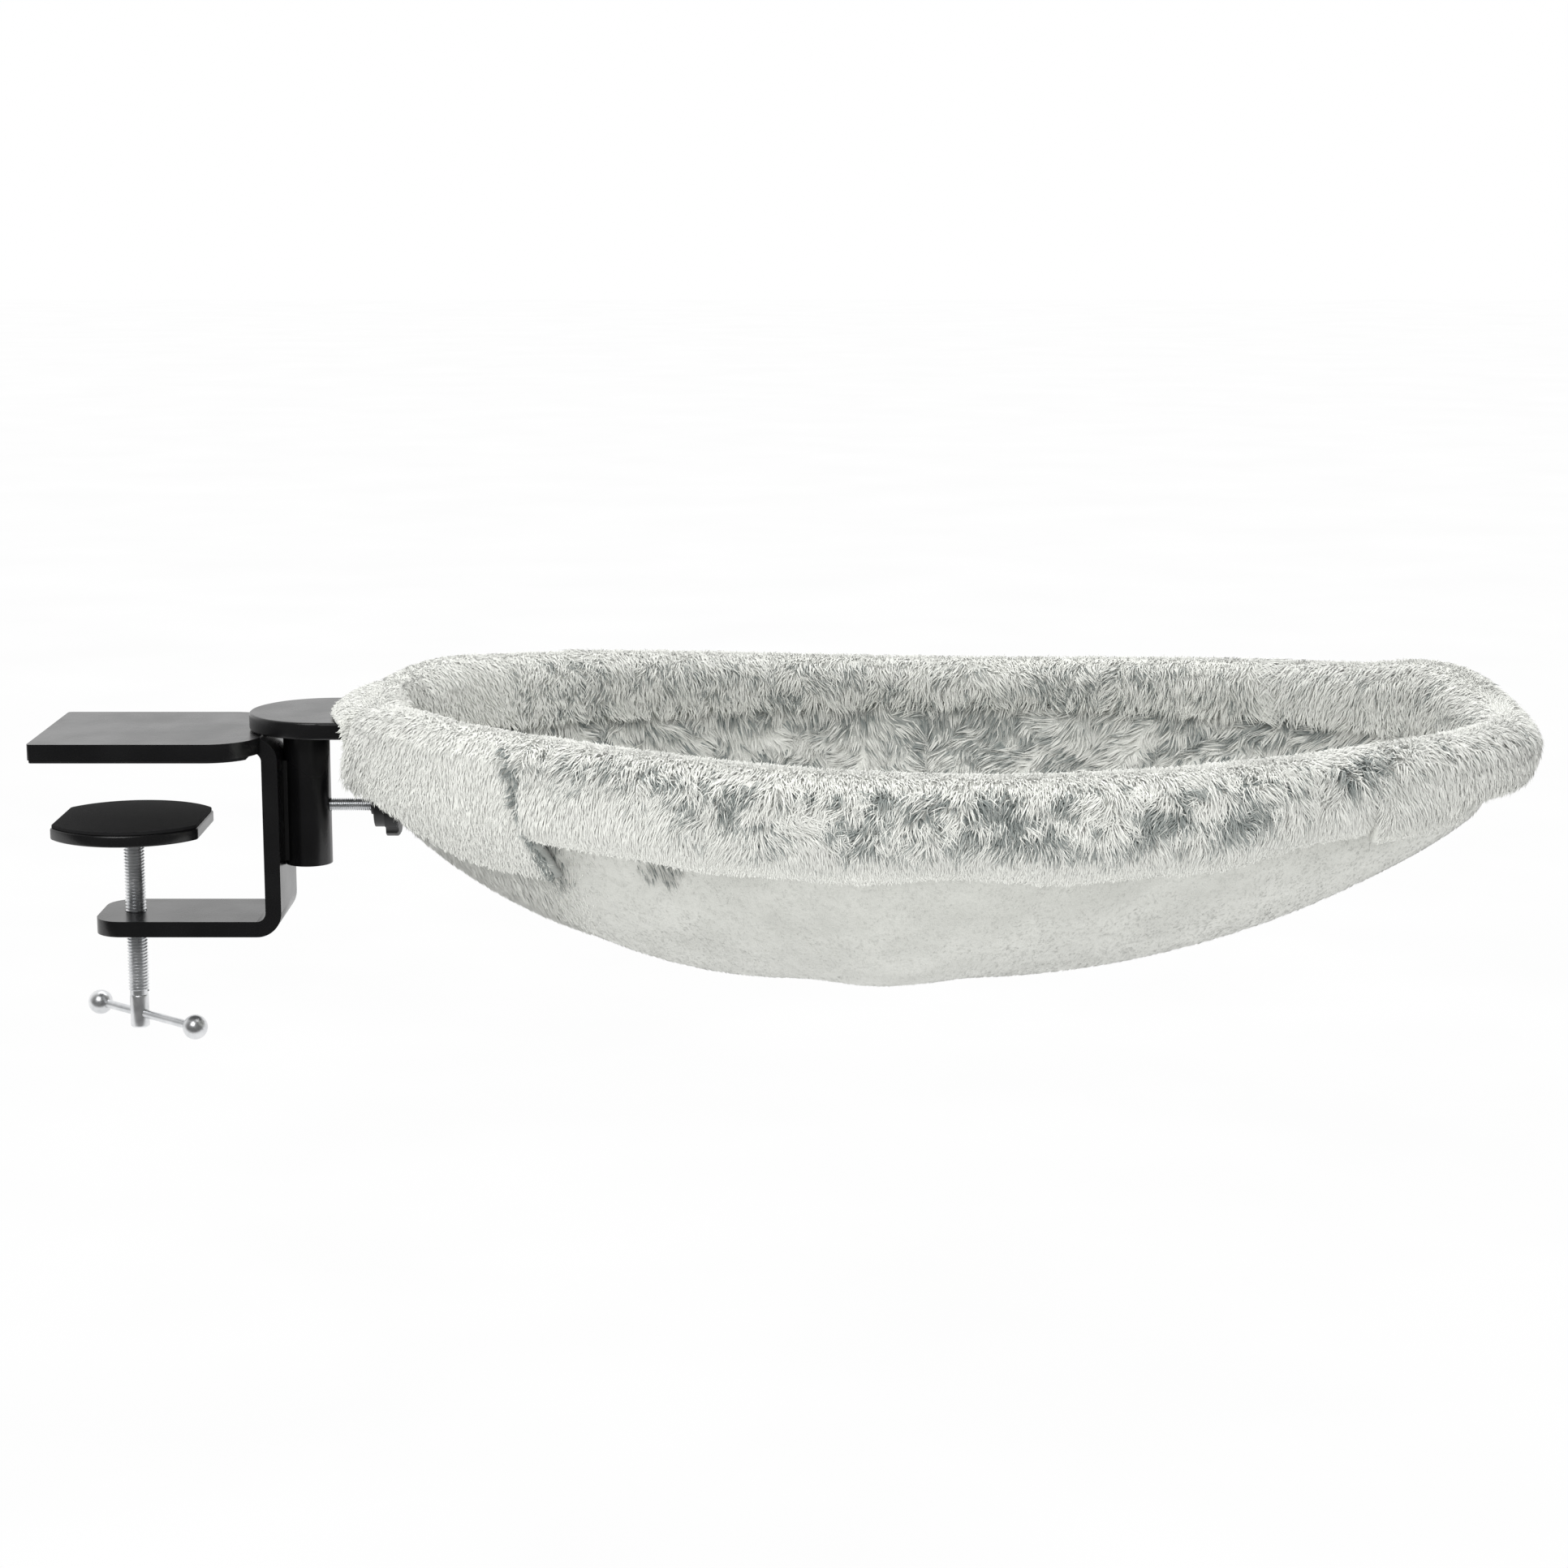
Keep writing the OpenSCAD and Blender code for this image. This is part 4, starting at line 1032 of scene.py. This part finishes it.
def pouch_piece(name, node, inset0, inset1, drop, seed, slot, dark_top):
    outer, inner = layer_grid(inset0, drop), layer_grid(inset1, drop)
    rows, cols = outer.shape[:2]
    size = rows * cols
    verts = np.concatenate([
        outer.reshape(-1, 3), inner.reshape(-1, 3), layer_low(inset0), layer_low(inset1)])
    faces = grid_quads(rows, cols, True)
    faces += [tuple(size + k for k in f) for f in grid_quads(rows, cols, True, True)]
    last = (rows - 1) * cols
    for j in range(cols):
        k = (j + 1) % cols
        faces.append((j, size + j, size + k, k))
        faces.append((last + j, last + k, 2 * size))
        faces.append((size + last + k, size + last + j, 2 * size + 1))
    faces = [f[::-1] for f in faces]
    mottle = smooth(MOTTLE_MEAN + MOTTLE_STRENGTH * soft_noise(verts, MOTTLE_SIZE, seed))
    mat = MAT["cloth" if slot == "long_plush" else "short_cloth"]
    obj = mesh_object(name, verts, faces, mat, dark_top * mottle * upper_part(verts))
    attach(obj, "hammock")
    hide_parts(node)
    return obj, outer, inner, sheet_area(outer, True)


# How the pile of the pouch lies: noise sizes and widths in millimetres, drift and swirl in radians, and the
# rest as shares
POUCH_DRIFT, POUCH_DRIFT_SIZE = 0.5, 30.0
POUCH_SWIRL, POUCH_SWIRL_DARK, POUCH_SWIRL_SIZE = 0.25, 1.6, 8.0
POUCH_SIZE_LEAST, POUCH_SIZE_SPREAD = 0.7, 0.5
POUCH_EDGE_SIZE = 0.4
POUCH_ALONG = 0.8
POUCH_CLUMP_STEP = 26
POUCH_STRAND_WIDTH, POUCH_STRAND_WIDTH_PER_LENGTH, POUCH_STRAND_WIDTH_SPREAD = 0.22, 0.05, 0.2
POUCH_ROOT_SUNK = 0.3
POUCH_ROOT_SHADE, POUCH_ROOT_DARK, POUCH_TIP_SHADE = 0.03, 0.95, 0.6
POUCH_LIT = 0.9


def pouch_pile(name, grid, facing, slot, strands, length, seed, lift, clump,
               dark=0.0, keep=None, dark_at=None):
    """Straight pile on one face of the pouch, all over or where keep is above 0."""
    rng = np.random.default_rng(seed)
    count = int(strands * FUR_SHARE)
    pts, n, _, inwards, row, col = scatter(grid, count, rng, True, keep)
    n = n * facing
    parting_and_shade = dark * patchy(pts, seed) * upper_part(pts) if dark_at is None else dark_at(pts)
    turn = (POUCH_DRIFT * soft_noise(pts, POUCH_DRIFT_SIZE, seed)
            + (POUCH_SWIRL + POUCH_SWIRL_DARK * dark) * soft_noise(pts, POUCH_SWIRL_SIZE, seed + 1))
    flow = inwards * np.cos(turn)[:, None] + np.cross(n, inwards) * np.sin(turn)[:, None]
    size = length * (POUCH_SIZE_LEAST + POUCH_SIZE_SPREAD * rng.random(count))
    if keep is not None:
        size = size * (POUCH_EDGE_SIZE + (1 - POUCH_EDGE_SIZE) * keep[row.astype(int), col.astype(int)])
    tip = pts + n * (size * lift)[:, None] + flow * (size * POUCH_ALONG)[:, None]
    tip = clumped(pts, tip, POUCH_CLUMP_STEP, np.full(count, clump), rng)
    shade = dark_strands(parting_and_shade, rng)
    width = POUCH_STRAND_WIDTH_PER_LENGTH * length + POUCH_STRAND_WIDTH
    width = width + POUCH_STRAND_WIDTH_SPREAD * rng.random(count)
    lit = n if keep is None else towards_light(n, POUCH_LIT)
    return pile_pieces(name, slot, pts - n * POUCH_ROOT_SUNK, None, tip, lit, width,
                       POUCH_ROOT_SHADE + POUCH_ROOT_DARK * shade, POUCH_TIP_SHADE * shade, rng)


# The sign that turns the normals of a layer's grid away from the pouch's inside or towards it
OUTWARDS, INWARDS = -1.0, 1.0
POUCH_INSETS, POUCH_RIM_DROP = (0.3, 3.6), 0.0
LINING_INSETS, LINING_RIM_DROP = (4.9, 8.6), 1.4
pouch, pouch_out, _, pouch_area = pouch_piece(
    "pouch_cloth", "pouch", *POUCH_INSETS, POUCH_RIM_DROP, seed=51, slot="short_plush", dark_top=0.0)
# The lining's upper part is darkened: dark roots and painted shadow of the front rim
lining, _, lining_in, lining_area = pouch_piece(
    "pouch_lining_cloth", "pouch_lining", *LINING_INSETS, LINING_RIM_DROP, seed=57, slot="long_plush",
    dark_top=CLOTH_DARK)

# Long pile reaches from the arm end along the pouch and stops at a dark parting below the crease, whose dark
# is partly painted shade in the slit between the flaps
END_PILE_END, END_PILE_RUN = 182.0, 30.0
PARTING_X, PARTING_Z, PARTING_LEAN = 166.0, -25.0, 0.3
PARTING_WIDTH, PARTING_SHADE = 6.0, 0.7
PARTING_LOW, PARTING_FADE = -42.0, 8.0
# Two dark tufts hang below the front hem, dark partly with painted shadow of the hem: place along X, width
# and strength
HEM_TUFTS = ((198.0, 1.8, 0.6), (205.0, 2.6, 1.0))
HEM_TUFTS_Z, HEM_TUFTS_HEIGHT, HEM_TUFTS_SHADE = -20.0, 5.0, 0.5


# Dark roots and painted shade in the slit below the crease
def end_parting_shade(p):
    x, y, z = p.T
    off = x - PARTING_X - PARTING_LEAN * (PARTING_Z - z)
    return PARTING_SHADE * bell(off, PARTING_WIDTH) * past(z, PARTING_LOW, PARTING_FADE) * (y < 0)


# Dark roots and painted shadow of the hem, alike on every tuft strand
def tuft_shade(p):
    return np.full(len(p), HEM_TUFTS_SHADE)


X, Y, Z = np.moveaxis(pouch_out[:-1], -1, 0)
arm_end = before(X, END_PILE_END, END_PILE_RUN)
tufts = sum(strength * bell(X - at, width) for at, width, strength in HEM_TUFTS)
tufts = tufts * bell(Z - HEM_TUFTS_Z, HEM_TUFTS_HEIGHT) * (Y < 0)
outside = pouch_pile("pouch_pile", pouch_out, OUTWARDS, "short_plush", strands=45000, length=2.4, seed=61,
                     lift=0.2, clump=0.1)
outside += pouch_pile("pouch_end_pile", pouch_out, OUTWARDS, "long_plush", strands=22000, length=6.0,
                      seed=63, lift=0.3, clump=0.2, keep=arm_end, dark_at=end_parting_shade)
outside += pouch_pile("pouch_tuft_pile", pouch_out, OUTWARDS, "long_plush", strands=200, length=9.0,
                      seed=69, lift=0.25, clump=0.0, keep=tufts, dark_at=tuft_shade)
inside = pouch_pile("lining_pile", lining_in, INWARDS, "long_plush", strands=70000, length=8.0, seed=67,
                    lift=0.4, clump=0.4, dark=0.9)


# Studio, in metres: a white floor far below that ends short of the camera, a white surround and soft lamps.
# The floor's pattern is in millimetres like the others.
FLOOR_SIZE, FLOOR_AT = 20.0, (0.25, 9.4, -0.6)
SPOT_SIZE = 333.0
deselect()
bpy.ops.mesh.primitive_plane_add(size=FLOOR_SIZE, location=FLOOR_AT)
floor = bpy.context.object
floor.name = "floor"
# Matt board, painted: pale in the light that it gives the object, and white for the eye and in what shines
mat, tree, coords = new_material("painted_board")
spots = add_node(tree, "ShaderNodeTexNoise", inputs={
    "Vector": coords, "Scale": per_metre(SPOT_SIZE), "Detail": 3.0})
white, _ = two_tones(tree, spots.outputs["Fac"], "fdfdfd", "ffffff")
glow = add_node(tree, "ShaderNodeEmission", inputs={"Color": white, "Strength": 1.0})
path = add_node(tree, "ShaderNodeLightPath")
shiny = add_node(tree, "ShaderNodeMath", {"operation": "MAXIMUM"}, {
    0: path.outputs["Is Glossy Ray"], 1: path.outputs["Is Transmission Ray"]})
seen = add_node(tree, "ShaderNodeMath", {"operation": "MAXIMUM"}, {
    0: path.outputs["Is Camera Ray"], 1: shiny.outputs[0]})
dull = add_node(tree, "ShaderNodeBsdfDiffuse", inputs={"Color": srgb("e8e8e8")})
board = add_node(tree, "ShaderNodeMixShader", inputs={
    0: seen.outputs[0], 1: dull.outputs[0], 2: glow.outputs[0]})
add_node(tree, "ShaderNodeOutputMaterial", inputs={"Surface": board.outputs[0]})
paint(floor, mat)

# The surround is white for the eye and through glass. What shines mirrors a white wall behind the object and
# a dark room in front of it.
ROOM_LIGHT = 0.95
ROOM_FRONT, WALL_FROM, WALL_TO = 0.1, -0.3, 0.5
world = bpy.data.worlds.new("surround")
bpy.context.scene.world = world
world.use_nodes = True
tree = world.node_tree
tree.nodes.clear()
path = add_node(tree, "ShaderNodeLightPath")
seen = add_node(tree, "ShaderNodeMath", {"operation": "MAXIMUM"}, {
    0: path.outputs["Is Camera Ray"], 1: path.outputs["Is Transmission Ray"]})
direction = add_node(tree, "ShaderNodeTexCoord").outputs["Generated"]
split = add_node(tree, "ShaderNodeSeparateXYZ", inputs={0: direction})
wall = add_node(tree, "ShaderNodeMapRange", inputs={
    "Value": split.outputs["Y"], "From Min": WALL_FROM, "From Max": WALL_TO,
    "To Min": ROOM_FRONT, "To Max": 1.0})
unseen = add_node(tree, "ShaderNodeMix", inputs={
    MIX_FACTOR: path.outputs["Is Glossy Ray"], FLOAT_A: ROOM_LIGHT, FLOAT_B: wall.outputs["Result"]})
level = add_node(tree, "ShaderNodeMix", inputs={
    MIX_FACTOR: seen.outputs[0], FLOAT_A: unseen.outputs[FLOAT_OUT], FLOAT_B: 1.0})
room = add_node(tree, "ShaderNodeBackground", inputs={
    "Color": srgb("ffffff"), "Strength": level.outputs[FLOAT_OUT]})
add_node(tree, "ShaderNodeOutputWorld", inputs={"Surface": room.outputs[0]})

# Lamps: name, place, size, watts and whether they show in what shines; all aim at the object's middle
AIM = (0.25, 0.0, 0.0)
LAMPS = [
    ("key", (-0.3, -1.2, 1.0), (0.9, 0.9), 8.0, True),
    ("top", (0.4, 0.3, 1.5), (1.6, 1.2), 12.0, True),
    ("fill", (0.4, -1.9, 0.1), (1.6, 0.9), 8.0, False)]
for name, at, size, watts, mirrored in LAMPS:
    data = bpy.data.lights.new(name, "AREA")
    data.shape = "RECTANGLE"
    data.size, data.size_y = size
    data.energy = watts
    lamp = bpy.data.objects.new(name, data)
    lamp.location = at
    d = np.array(AIM) - np.array(at)
    lamp.rotation_euler = (math.acos(-d[2] / np.linalg.norm(d)), 0.0, math.atan2(d[1], d[0]) - math.pi / 2)
    lamp.visible_glossy = mirrored
    bpy.context.scene.collection.objects.link(lamp)

bpy.context.scene.view_settings.view_transform = "Standard"
